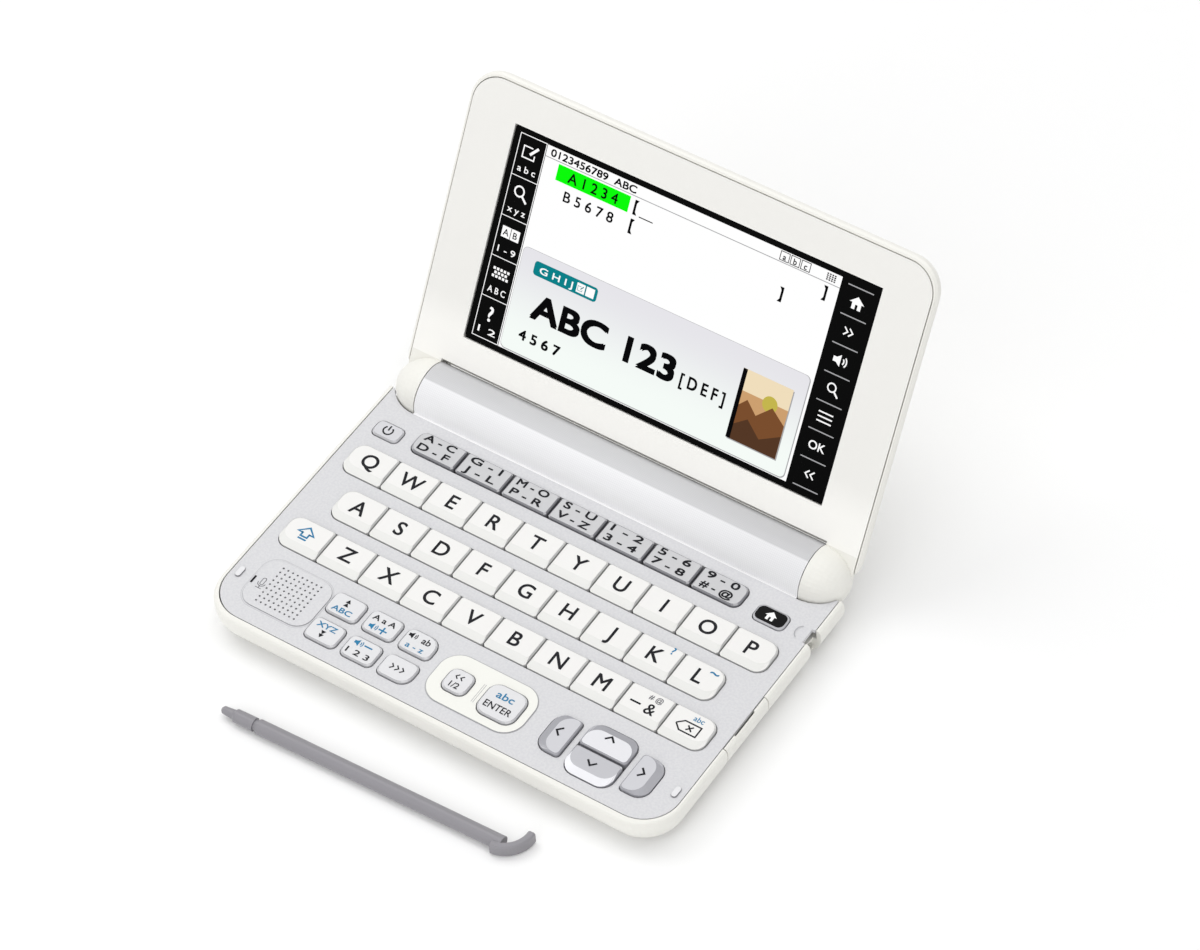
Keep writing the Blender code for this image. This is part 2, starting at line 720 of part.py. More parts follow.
def build_card_slot(case):
    """Window in the side wall for the card cover, with the slot and the hinge groove behind it."""
    wall = DECK_HALF_WIDTH + TRIM_SIDE + OVERRUN
    half = 0.5 * CARD_COVER_LENGTH + SEAM
    window = box(
        CARD_COVER_INNER - SEAM,
        wall,
        CARD_Y - half,
        CARD_Y + half,
        CARD_HINGE_Z - CARD_BEAD - SEAM,
        DECK_TOP + OVERRUN,
    )
    helper("case_card_window", window, case)
    groove = ring_points((CARD_HINGE_X, CARD_HINGE_Z), CARD_BEAD + SEAM, 16)
    helper("case_card_groove", rod_along_y(groove, CARD_Y - half, CARD_Y + half), case)
    slot = box(
        CARD_COVER_INNER - CARD_SLOT_DEPTH,
        wall,
        CARD_Y - 0.5 * CARD_SLOT_LENGTH,
        CARD_Y + 0.5 * CARD_SLOT_LENGTH,
        CARD_SLOT_Z,
        CARD_SLOT_Z + CARD_SLOT_HEIGHT,
    )
    helper("case_card_slot", slot, case)


def rod_along_y(outline, y0, y1):
    """A prism along Y on an outline given in X and Z."""
    return loft([[(x, y0, z) for x, z in outline], [(x, y1, z) for x, z in outline]])


def build_card_cover(parent):
    """Cover over the card slot: a piece of the case's side wall on a round hinge bead."""
    shape = loft(case_rings())
    cover = place("card_slot_cover", mesh_from("card_slot_cover", shape), CASE, parent)
    half = 0.5 * CARD_COVER_LENGTH
    keep = box(
        CARD_COVER_INNER,
        DECK_HALF_WIDTH + TRIM_SIDE + OVERRUN,
        CARD_Y - half,
        CARD_Y + half,
        CARD_HINGE_Z - 0.25 * CARD_BEAD,
        DECK_TOP + OVERRUN,
    )
    helper("cover_extent", keep, cover, "INTERSECT")
    bead = ring_points((CARD_HINGE_X, CARD_HINGE_Z), CARD_BEAD, 16)
    helper("cover_bead", rod_along_y(bead, CARD_Y - half, CARD_Y + half), cover, "UNION")
    nail = box(
        CARD_COVER_INNER - OVERRUN,
        CARD_COVER_INNER + NAIL_WIDTH,
        CARD_Y - 0.5 * NAIL_LENGTH,
        CARD_Y + 0.5 * NAIL_LENGTH,
        DECK_TOP - NAIL_DEPTH,
        DECK_TOP + OVERRUN,
    )
    helper("cover_nail_groove", nail, cover)
    return cover


def build_battery_cover(parent):
    """Cover under the cells: a flat plate that curves up behind the barrel."""
    axis = (AXIS_Y, AXIS_Z)
    outer = arc_points(axis, TROUGH_RADIUS, -100.0, lip_angle(TROUGH_RADIUS), 16)
    inner = arc_points(axis, COVER_INNER_RADIUS, lip_angle(COVER_INNER_RADIUS), -96.0, 14)
    front = BAY_FRONT + SEAM
    section = [(front, FOOT_HEIGHT), *outer, *inner, (front, FOOT_HEIGHT + COVER_FLOOR)]
    shape = bar(section, BAY_LEFT + SEAM, BAY_RIGHT - SEAM)
    return place("battery_cover", mesh_from("battery_cover", shape), CASE, parent)


def deck_plate():
    """Deck skin: round front corners, and a rear edge that runs into the barrel between two ears."""
    half = DECK_HALF_WIDTH - 0.5 * SEAM
    front = DECK_FRONT - 0.5 * SEAM
    radius = DECK_CORNER - 0.5 * SEAM
    inner = BARREL_HALF - SEAM
    notch = AXIS_Y - 0.5 * (BARREL_RADIUS + BAY_RADIUS - SEAM)
    outline = rounded_outline(
        -half, half, -front, DECK_REAR, (radius, radius, 0.0, 0.0), (CORNER_SEGMENTS, CORNER_SEGMENTS, 0, 0)
    )
    outline[-1:] = [
        (inner, DECK_REAR),
        (inner, notch),
        (-inner, notch),
        (-inner, DECK_REAR),
        outline[-1],
    ]
    return prism(outline, DECK_TOP - DECK_SKIN, DECK_TOP)


def barrel_shell():
    """Upper shell of the hinge barrel, open below where the cells drop out."""
    lip = AXIS_Z - WELL_FLOOR - SEAM
    outer_dip = math.degrees(math.asin(lip / BARREL_RADIUS))
    inner_dip = math.degrees(math.asin(lip / BAY_RADIUS))
    outer = arc_points((AXIS_Y, AXIS_Z), BARREL_RADIUS, -outer_dip, 180.0 + outer_dip, BARREL_SEGMENTS)
    inner = arc_points((AXIS_Y, AXIS_Z), BAY_RADIUS, 180.0 + inner_dip, -inner_dip, BARREL_SEGMENTS)
    return bar([*outer, *inner], -BARREL_HALF, BARREL_HALF)


def grille():
    """All the holes of the speaker grille as one cutter."""
    holes = bmesh.new()
    start = 0.5 * (GRILLE_COUNT - 1) * GRILLE_PITCH
    for row in range(GRILLE_COUNT):
        for column in range(GRILLE_COUNT):
            centre = (GRILLE_X - start + column * GRILLE_PITCH, SPEAKER_Y - start + row * GRILLE_PITCH)
            ring = ring_points(centre, GRILLE_RADIUS, 6)
            low = [holes.verts.new((x, y, DECK_TOP - DECK_SKIN - OVERRUN)) for x, y in ring]
            high = [holes.verts.new((x, y, DECK_TOP + OVERRUN)) for x, y in ring]
            holes.faces.new(low[::-1])
            holes.faces.new(high)
            for k in range(len(ring)):
                after = (k + 1) % len(ring)
                holes.faces.new((low[k], low[after], high[after], high[k]))
    return holes


def build_deck(parent):
    """Keyboard deck in one moulding with the hinge barrel, key openings and speaker grille."""
    deck = place("keyboard_deck", mesh_from("keyboard_deck", deck_plate()), DECK, parent)
    helper("deck_barrel", barrel_shell(), deck, "UNION")
    for name, x, y, width, depth, corner in (
        ("deck_speaker_pad", SPEAKER_X, SPEAKER_Y, SPEAKER_WIDTH, SPEAKER_DEPTH, SPEAKER_CORNER),
        ("deck_enter_pad", ENTER_PAD_X, FRONT_ROW_Y, ENTER_PAD_WIDTH, ENTER_PAD_DEPTH, ENTER_PAD_CORNER),
    ):
        pad = rounded_outline(
            x - 0.5 * width, x + 0.5 * width, y - 0.5 * depth, y + 0.5 * depth, [corner] * 4, [6] * 4
        )
        helper(name, prism(pad, DECK_TOP - 0.5 * DECK_SKIN, DECK_TOP + PAD_RISE), deck, "UNION")
    for side in (-1.0, 1.0):
        x = side * BUMPER_X
        nub = rounded_outline(
            x - 0.5 * BUMPER_WIDTH,
            x + 0.5 * BUMPER_WIDTH,
            BUMPER_Y - 0.5 * BUMPER_DEPTH,
            BUMPER_Y + 0.5 * BUMPER_DEPTH,
            [0.48 * BUMPER_WIDTH] * 4,
            [3] * 4,
        )
        helper("deck_bumper", prism(nub, DECK_TOP - 0.5 * DECK_SKIN, DECK_TOP + BUMPER_RISE), deck, "UNION")
        helper("deck_scoop", dome_scoop(side), deck, location=(0.0, AXIS_Y, AXIS_Z))
    helper("deck_grille", grille(), deck)
    lamp = box(
        LAMP_X - 0.5 * LAMP_WIDTH,
        LAMP_X + 0.5 * LAMP_WIDTH,
        LAMP_Y - 0.5 * LAMP_DEPTH,
        LAMP_Y + 0.5 * LAMP_DEPTH,
        DECK_TOP - DECK_SKIN - OVERRUN,
        DECK_TOP + OVERRUN,
    )
    helper("deck_lamp_slot", lamp, deck)
    notch = box(
        NOTCH_INNER,
        DECK_HALF_WIDTH + OVERRUN,
        SILO_Y - NOTCH_HALF,
        SILO_Y + NOTCH_HALF,
        DECK_TOP - DECK_SKIN - OVERRUN,
        DECK_TOP + OVERRUN,
    )
    helper("deck_notch", notch, deck)
    return deck


def letter_key(deck, name, index, count, row):
    """Place one key of a letter row, with large outer corners on the two end keys."""
    width = KEY_PITCH - KEY_GAP
    left = END_CORNER if index == 0 else KEY_CORNER
    right = END_CORNER if index == count - 1 else KEY_CORNER
    kind = {0: "letter_cap_left", count - 1: "letter_cap_right"}.get(index, "letter_cap")
    mesh = bpy.data.meshes.get(kind) or key_mesh(
        kind,
        width,
        LETTER_DEPTH,
        LETTER_RISE,
        (left, right, right, left),
        "front",
        LETTER_SLOPE,
        LETTER_NOSE,
    )
    x = (index - 0.5 * (count - 1)) * KEY_PITCH
    place(name, mesh, LETTER, deck.parent, (x, row * ROW_PITCH, DECK_TOP))


def build_letter_rows(deck):
    """Three staggered rows, each in one long opening of the deck."""
    names = [[f"key_{letter}" for letter in row] for row in LETTER_ROWS]
    names[2] = ["key_shift", *names[2], "key_minus", "key_delete"]
    for level, row_names in zip((1, 0, -1), names):
        count = len(row_names)
        for index, name in enumerate(row_names):
            letter_key(deck, name, index, count, level)
        slot = key_opening(
            0.0, level * ROW_PITCH, count * KEY_PITCH - KEY_GAP, LETTER_DEPTH, [END_CORNER] * 4
        )
        helper(f"row_opening_{level + 2}", slot, deck)


def build_category_keys(deck):
    """Seven flat keys side by side in one opening, round at the two outer ends."""
    width = CATEGORY_PITCH - CATEGORY_GAP
    for index in range(CATEGORY_COUNT):
        left = CATEGORY_CORNER if index == 0 else KEY_CORNER
        right = CATEGORY_CORNER if index == CATEGORY_COUNT - 1 else KEY_CORNER
        ends = {0: "category_cap_left", CATEGORY_COUNT - 1: "category_cap_right"}
        kind = ends.get(index, "category_cap")
        mesh = bpy.data.meshes.get(kind) or key_mesh(
            kind, width, CATEGORY_DEPTH, CATEGORY_RISE, (left, right, right, left)
        )
        x = CATEGORY_LEFT + (index + 0.5) * CATEGORY_PITCH
        place(f"category_key_{index + 1}", mesh, SILVER, deck.parent, (x, CATEGORY_Y, DECK_TOP))
    middle = CATEGORY_LEFT + 0.5 * CATEGORY_COUNT * CATEGORY_PITCH
    length = CATEGORY_COUNT * CATEGORY_PITCH - CATEGORY_GAP
    slot = key_opening(middle, CATEGORY_Y, length, CATEGORY_DEPTH, [CATEGORY_CORNER] * 4)
    helper("category_opening", slot, deck)


def single_key(deck, name, x, y, width, depth, rise, corners, finish, **shape):
    """Place a key that has an opening of its own."""
    mesh = key_mesh(name, width, depth, rise, corners, flanges="lrfb", **shape)
    place(name, mesh, finish, deck.parent, (x, y, DECK_TOP))
    helper(f"{name}_opening", key_opening(x, y, width, depth, corners), deck)


def build_single_keys(deck):
    """Power, home, function, back and enter keys."""
    for name, x, y, width, depth, rise, corner, finish in (
        ("power_key", POWER_X, SMALL_Y, POWER_WIDTH, SMALL_DEPTH, SMALL_RISE, SMALL_CORNER, SILVER),
        ("home_key", HOME_X, SMALL_Y, HOME_WIDTH, SMALL_DEPTH, SMALL_RISE, SMALL_CORNER, BLACK),
        ("key_back", BACK_X, PAD_KEY_Y, BACK_SIZE, BACK_SIZE, PAD_KEY_RISE, BACK_CORNER, SILVER),
        ("key_enter", ENTER_X, PAD_KEY_Y, ENTER_WIDTH, ENTER_DEPTH, PAD_KEY_RISE, ENTER_CORNER, SILVER),
    ):
        single_key(deck, name, x, y, width, depth, rise, [corner] * 4, finish)
    names = (
        ("key_heading_up", "key_volume_up", "key_voice"),
        ("key_heading_down", "key_volume_down", "key_jump"),
    )
    for row, row_names in enumerate(names):
        for column, name in enumerate(row_names):
            corners = [FUNCTION_CORNER] * 4
            if column == 2:
                corners[2 - row] = FUNCTION_OUTER_CORNER
            single_key(
                deck,
                name,
                FUNCTION_X + column * FUNCTION_PITCH_X,
                FUNCTION_Y - row * FUNCTION_PITCH_Y,
                FUNCTION_WIDTH,
                FUNCTION_DEPTH,
                FUNCTION_RISE,
                corners,
                SILVER,
            )


def build_arrow_keys(deck):
    """Up and down keys share an opening. Left and right keys stand beside them."""
    outer = ARROW_CORNER
    inner = ARROW_INNER_CORNER
    slope = {"slope": ARROW_SLOPE, "nose": ARROW_NOSE}
    for name, side, corners, flanges in (
        ("arrow_up", 1.0, (inner, inner, outer, outer), "lrb"),
        ("arrow_down", -1.0, (outer, outer, inner, inner), "lrf"),
    ):
        mesh = key_mesh(
            name,
            ARROW_WIDTH,
            ARROW_DEPTH,
            ARROW_RISE,
            corners,
            slope_side="back" if side > 0.0 else "front",
            flanges=flanges,
            **slope,
        )
        y = ARROW_Y + side * 0.5 * (ARROW_DEPTH + ARROW_GAP)
        place(name, mesh, ARROW, deck.parent, (ARROW_X, y, DECK_TOP))
    well = key_opening(ARROW_X, ARROW_Y, ARROW_WIDTH, 2.0 * ARROW_DEPTH + ARROW_GAP, [outer] * 4)
    helper("arrow_opening", well, deck)
    for name, side, corners, sloped in (
        ("arrow_left", -1.0, (outer, inner, inner, outer), "left"),
        ("arrow_right", 1.0, (inner, outer, outer, inner), "right"),
    ):
        single_key(
            deck,
            name,
            ARROW_X + side * SIDE_ARROW_OFFSET,
            ARROW_Y,
            SIDE_ARROW_WIDTH,
            SIDE_ARROW_DEPTH,
            ARROW_RISE,
            corners,
            ARROW,
            slope_side=sloped,
            **slope,
        )


def lid_outline(half, top, corner, foot, foot_corner):
    """Plan of a lid piece in the lid's own frame."""
    radii = (foot_corner, foot_corner, corner, corner)
    return rounded_outline(-half, half, foot, top, radii, (5, 5, CORNER_SEGMENTS, CORNER_SEGMENTS))


def build_back_cover(parent):
    """Outer shell of the lid, with a bevelled rim and a stepped pocket."""
    face = -FACE_SETBACK
    rings = []
    for deep, drawn in LID_BACK_SHARES:
        inset = drawn * LID_CURVE
        ease = LID_CORNER_SHARE * inset
        outline = lid_outline(
            LID_HALF_WIDTH - inset,
            LID_TOP - inset,
            LID_CORNER - ease,
            LID_FOOT + inset,
            LID_FOOT_CORNER - ease,
        )
        rings.append(raised(outline, face - deep * LID_THICKNESS))
    cover = place("lid_back_cover", mesh_from("lid_back_cover", loft(rings)), CASE, parent)
    seat = lid_outline(
        BEZEL_HALF_WIDTH + SEAM,
        BEZEL_TOP + SEAM,
        BEZEL_CORNER + SEAM,
        LID_FOOT - LID_FOOT_CORNER,
        PANEL_CORNER,
    )
    helper("cover_seat", prism(seat, face - BEZEL_SKIN - SEAM, face + OVERRUN), cover)
    pocket = lid_outline(
        BEZEL_HALF_WIDTH - POCKET_INSET,
        BEZEL_TOP - POCKET_INSET,
        BEZEL_CORNER - POCKET_INSET,
        BEZEL_FOOT + POCKET_INSET,
        BEZEL_CORNER - POCKET_INSET,
    )
    helper("cover_pocket", prism(pocket, face - LID_THICKNESS + LID_SKIN, face + OVERRUN), cover)
    barrel = rod(LID_CLEARANCE_RADIUS, -ARM_INNER, ARM_INNER, 0.0, 0.0, BARREL_SEGMENTS)
    helper("cover_barrel_gap", barrel, cover)
    for side in (-1.0, 1.0):
        dome = half_dome(side, DOME_RADIUS + SEAM, DOME_REACH + SEAM, BARREL_HALF, BARREL_SEGMENTS)
        helper("cover_dome_gap", dome, cover)
    return cover


def build_bezel(parent):
    """Inner face of the lid: a window frame with the two domed ends of the hinge."""
    face = -FACE_SETBACK
    outline = lid_outline(BEZEL_HALF_WIDTH, BEZEL_TOP, BEZEL_CORNER, LID_FOOT + SEAM, PANEL_CORNER)
    shape = prism(outline, face - BEZEL_SKIN, face)
    bezel = place("lid_bezel", mesh_from("lid_bezel", shape), CASE, parent)
    gap = box(
        -ARM_INNER, ARM_INNER, -OVERRUN, BEZEL_FOOT, face - BEZEL_SKIN - OVERRUN, face + OVERRUN
    )
    helper("bezel_barrel_gap", gap, bezel)
    half = PANEL_HALF_WIDTH + SEAM
    window = box(
        PANEL_SHIFT - half,
        PANEL_SHIFT + half,
        PANEL_FOOT - SEAM,
        PANEL_TOP + SEAM,
        face - BEZEL_SKIN - OVERRUN,
        face + OVERRUN,
    )
    helper("bezel_window", window, bezel)
    for side, bore in ((-1.0, HINGE_SHAFT_RADIUS), (1.0, JOURNAL_RADIUS)):
        dome = half_dome(side, DOME_RADIUS, DOME_REACH, ARM_INNER, BARREL_SEGMENTS)
        helper("bezel_dome", dome, bezel, "UNION")
        ends = sorted((side * (ARM_INNER - OVERRUN), side * (ARM_INNER + DOME_SHAFT_DEPTH)))
        helper("bezel_bore", rod(bore + SEAM, *ends, 0.0, 0.0, 24), bezel)
    return bezel


def build_display(parent):
    """Touch display: a panel that fills the bezel's window, on a wider frame behind the bezel."""
    face = -FACE_SETBACK
    ledge = face - BEZEL_SKIN - SEAM
    bottom = face - LID_THICKNESS + LID_SKIN + SEAM
    left = PANEL_SHIFT - PANEL_HALF_WIDTH
    right = PANEL_SHIFT + PANEL_HALF_WIDTH
    wide = rounded_outline(
        left - PANEL_LEDGE,
        right + PANEL_LEDGE,
        PANEL_FOOT - PANEL_LEDGE,
        PANEL_TOP + PANEL_LEDGE,
        [PANEL_CORNER] * 4,
        [2] * 4,
    )
    slim = rounded_outline(left, right, PANEL_FOOT, PANEL_TOP, [PANEL_CORNER] * 4, [2] * 4)
    glass = face - PANEL_DROP
    rings = [raised(wide, bottom), raised(wide, ledge), raised(slim, ledge), raised(slim, glass)]
    return place("display_module", mesh_from("display_module", loft(rings)), GLASS, parent)


def build_hinge_unit(parent):
    """Friction hinge: a steel can in the barrel's left end, with a flatted shaft in the dome."""
    inner = -BARREL_HALF + 2.0 * SEAM + HINGE_UNIT_LENGTH
    outer = -BARREL_HALF
    shaft_end = -ARM_INNER - DOME_SHAFT_DEPTH + SEAM
    profile = [
        (shaft_end, 0.0),
        (shaft_end, HINGE_SHAFT_RADIUS),
        (outer, HINGE_SHAFT_RADIUS),
        (outer, HINGE_UNIT_RADIUS),
        (inner, HINGE_UNIT_RADIUS),
        (inner, 0.0),
    ]
    shape = turned(profile, 24)
    axis = (0.0, AXIS_Y, AXIS_Z)
    unit = place("friction_hinge", mesh_from("friction_hinge", shape), STEEL, parent, axis)
    flat = box(
        shaft_end - OVERRUN,
        outer - SEAM,
        -BARREL_RADIUS,
        BARREL_RADIUS,
        HINGE_SHAFT_RADIUS - HINGE_FLAT,
        BARREL_RADIUS,
    )
    helper("hinge_flat", flat, unit, location=axis)
    return unit


def build_cells(parent):
    """Two cells end to end, the cap of one against the base of the next."""
    length = CELL_LENGTH + CELL_NUB
    start = BAY_LEFT + SEAM
    profile = [(start, 0.0)]
    for k in range(CELL_COUNT):
        base = start + k * length
        shoulder = base + CELL_LENGTH
        profile += [
            (base, CELL_RADIUS - CELL_BEVEL),
            (base + CELL_BEVEL, CELL_RADIUS),
            (shoulder - CELL_BEVEL, CELL_RADIUS),
            (shoulder, CELL_RADIUS - CELL_BEVEL),
            (shoulder, CELL_NUB_RADIUS),
            (shoulder + CELL_NUB, CELL_NUB_RADIUS),
        ]
    profile.append((profile[-1][0], 0.0))
    shape = turned(profile, 28)
    return place("aa_cells", mesh_from("aa_cells", shape), CELL, parent, (0.0, AXIS_Y, AXIS_Z))


def build_stylus(parent):
    """Stylus with a nib, a collar, a grooved shaft and a curved head across its end."""
    neck = NIB_LENGTH + COLLAR_LENGTH
    profile = [
        (0.0, 0.0),
        (0.0, NIB_TIP_RADIUS),
        (NIB_TIP_RADIUS, NIB_RADIUS),
        (NIB_LENGTH, NIB_RADIUS + SEAM),
        (NIB_LENGTH, COLLAR_RADIUS - EDGE_EASE),
        (NIB_LENGTH + EDGE_EASE, COLLAR_RADIUS - SLIVER),
        (neck, COLLAR_RADIUS),
        (neck, NECK_RADIUS),
        (neck + NECK_LENGTH, NECK_RADIUS),
        (neck + NECK_LENGTH, STYLUS_RADIUS - SLIVER),
        (neck + NECK_LENGTH + EDGE_EASE, STYLUS_RADIUS),
        (STYLUS_LENGTH, STYLUS_RADIUS),
        (STYLUS_LENGTH, 0.0),
    ]
    shape = turned(profile, 20)
    stylus = place(
        "stylus", mesh_from("stylus", shape), GREY, parent, (STYLUS_TIP_X, STYLUS_TIP_Y, STYLUS_RADIUS)
    )
    stylus.rotation_euler = (0.0, 0.0, STYLUS_ANGLE)
    centre = (HEAD_CENTRE_X, HEAD_CENTRE_Y)
    outline = arc_points(centre, HEAD_OUTER, -88.0, 2.0, 14)
    outline += arc_points(centre, HEAD_INNER, 2.0, -88.0, 14)
    low = EDGE_EASE - STYLUS_RADIUS
    high = HEAD_HEIGHT - STYLUS_RADIUS
    shrink = [
        (
            centre[0] + (x - centre[0]) * (1.0 + ease),
            centre[1] + (y - centre[1]) * (1.0 + ease),
        )
        for (x, y), ease in zip(outline, [-EDGE_EASE / HEAD_OUTER] * 15 + [EDGE_EASE / HEAD_INNER] * 15)
    ]
    head = loft(
        [
            raised(shrink, low - EDGE_EASE),
            raised(outline, low),
            raised(outline, high - EDGE_EASE),
            raised(shrink, high),
        ]
    )
    guide = helper("stylus_head", head, stylus, "UNION", tuple(stylus.location))
    guide.rotation_euler = stylus.rotation_euler
    return stylus


clear_scene()
CASE = material("cream_plastic", (0.86, 0.86, 0.83), 0.35)
DECK = material("silver_grey_plastic", (0.70, 0.70, 0.73), 0.4)
LETTER = material("key_white", (0.90, 0.90, 0.88), 0.35)
SILVER = material("key_silver", (0.58, 0.58, 0.62), 0.35, 0.2)
ARROW = material("key_satin_silver", (0.62, 0.62, 0.66), 0.28, 0.4)
BLACK = material("key_black", (0.02, 0.02, 0.02), 0.35)
GLASS = material("display_black", (0.01, 0.01, 0.01), 0.12)
GREY = material("stylus_grey", (0.23, 0.22, 0.25), 0.45)
STEEL = material("hinge_steel", (0.55, 0.55, 0.57), 0.3, 1.0)
CELL = material("cell_sleeve", (0.12, 0.16, 0.3), 0.35, 0.3)

DEVICE = empty("device_frame", location=(0.0, -PLAN_CENTRE, 0.0))
LID = empty("lid_hinge_axis", DEVICE, (0.0, AXIS_Y, AXIS_Z), LID_ANGLE)

build_bottom_case(DEVICE)
BOARD = build_deck(DEVICE)
build_letter_rows(BOARD)
build_category_keys(BOARD)
build_single_keys(BOARD)
build_arrow_keys(BOARD)
build_card_cover(DEVICE)
build_battery_cover(DEVICE)
build_hinge_unit(DEVICE)
build_cells(DEVICE)
build_back_cover(LID)
build_bezel(LID)
build_display(LID)
build_stylus(DEVICE)
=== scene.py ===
"""Dresses the electronic dictionary: finishes, printed legends, screen picture, light and camera.

Printed marks are laid out in millimetres on flat sheets. Places on the keyboard are measured
from the middle of the letter keys, and places on the lid from the hinge axis up its face.
"""

import logging
import math
from contextlib import contextmanager
from dataclasses import dataclass
from enum import Enum
from typing import Iterator, Sequence

import bmesh
import bpy
from mathutils import Matrix, Vector


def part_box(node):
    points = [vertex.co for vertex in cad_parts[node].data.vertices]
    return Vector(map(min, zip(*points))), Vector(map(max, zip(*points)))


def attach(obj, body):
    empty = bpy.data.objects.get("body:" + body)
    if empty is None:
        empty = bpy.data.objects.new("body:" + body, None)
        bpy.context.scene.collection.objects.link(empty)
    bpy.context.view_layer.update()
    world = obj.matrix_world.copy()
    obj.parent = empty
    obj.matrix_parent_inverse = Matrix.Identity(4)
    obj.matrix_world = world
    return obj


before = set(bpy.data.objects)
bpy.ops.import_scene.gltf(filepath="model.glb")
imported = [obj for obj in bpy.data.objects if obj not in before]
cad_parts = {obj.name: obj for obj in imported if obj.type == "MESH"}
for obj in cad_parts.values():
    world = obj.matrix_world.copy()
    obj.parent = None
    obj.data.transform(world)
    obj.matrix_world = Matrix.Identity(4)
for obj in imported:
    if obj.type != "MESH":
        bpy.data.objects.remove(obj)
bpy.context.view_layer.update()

LOG = logging.getLogger("dictionary")

MM = 0.001
PLAN_CENTRE = 13.64
AXIS_Y = 44.72
AXIS_Z = 11.0
DECK_TOP = 10.6
LID_ANGLE = math.radians(59.6)
GLASS_SETBACK = 1.68
KEY_PITCH = 13.5
ROW_PITCH = 14.65
LIFT = 0.03
LAYER = 0.02
INSIDE = -9.0
ROUND_STEPS = 8
DISC_POINTS = 24
CAPITAL_SHARE = 0.729
STRIKES = 5.0
GRAIN_SCALE = 2200.0
BUMP_DEPTH = 0.0001
FOOT_HEIGHT = 0.9
DOME_RADIUS = 8.9

Colour = tuple[int, int, int]
Point = tuple[float, float]
Span = tuple[float, float, float, float]
Socket = bpy.types.NodeSocket
Material = bpy.types.Material

# Reach in millimetres from the hinge axis over which the bezel's painted light at its foot fades
# out.
BEZEL_LIGHT_REACH: Point = (17.0, 30.0)
PANEL_TONE: Point = (24.0, 50.0)
# Lean limits, by how far a face points up, where a key's colour turns to that of its slopes and
# sides, mostly painted shade.
SIDE_LEAN: Point = (0.78, 0.84)
SLOPE_LEAN: Point = (0.975, 0.985)


class Body(Enum):
    """CAD bodies that new pieces ride on."""

    BASE = "base"
    LID = "lid"


class Slot(Enum):
    """Record slots that are passed along with new pieces."""

    PRINT = "key_black"
    SCREEN = "display_black"


@dataclass(frozen=True)
class Finish:
    """One plain surface finish, with its colour as it is seen on a screen."""

    name: str
    colour: Colour
    roughness: float = 0.5
    metallic: float = 0.0
    specular: float = 0.5
    glow: float = 0.0
    grain: float = 0.0


def linear(colour: Colour) -> tuple[float, float, float, float]:
    """Turn a screen colour into the linear colour that a shader takes.

    Args:
        colour: Red, green and blue from 0 to 255.

    Returns:
        The linear colour with full opacity.
    """
    low, high = 0.04045, 12.92
    shares = [part / 255.0 for part in colour]
    red, green, blue = (s / high if s <= low else ((s + 0.055) / 1.055) ** 2.4 for s in shares)
    return red, green, blue, 1.0


def arc(centre: Point, radius: float, start: float, stop: float, count: int) -> list[Point]:
    """Return points along an arc, with angles in degrees."""
    angles = [math.radians(start + (stop - start) * k / count) for k in range(count + 1)]
    return [(centre[0] + radius * math.cos(a), centre[1] + radius * math.sin(a)) for a in angles]


def add(name: str, data: bpy.types.ID) -> bpy.types.Object:
    """Put a new object in the scene.

    Args:
        name: The object's name.
        data: Its mesh, curve, camera or light.

    Returns:
        The object, which stands at the origin.
    """
    thing = bpy.data.objects.new(name, data)
    bpy.context.scene.collection.objects.link(thing)
    return thing


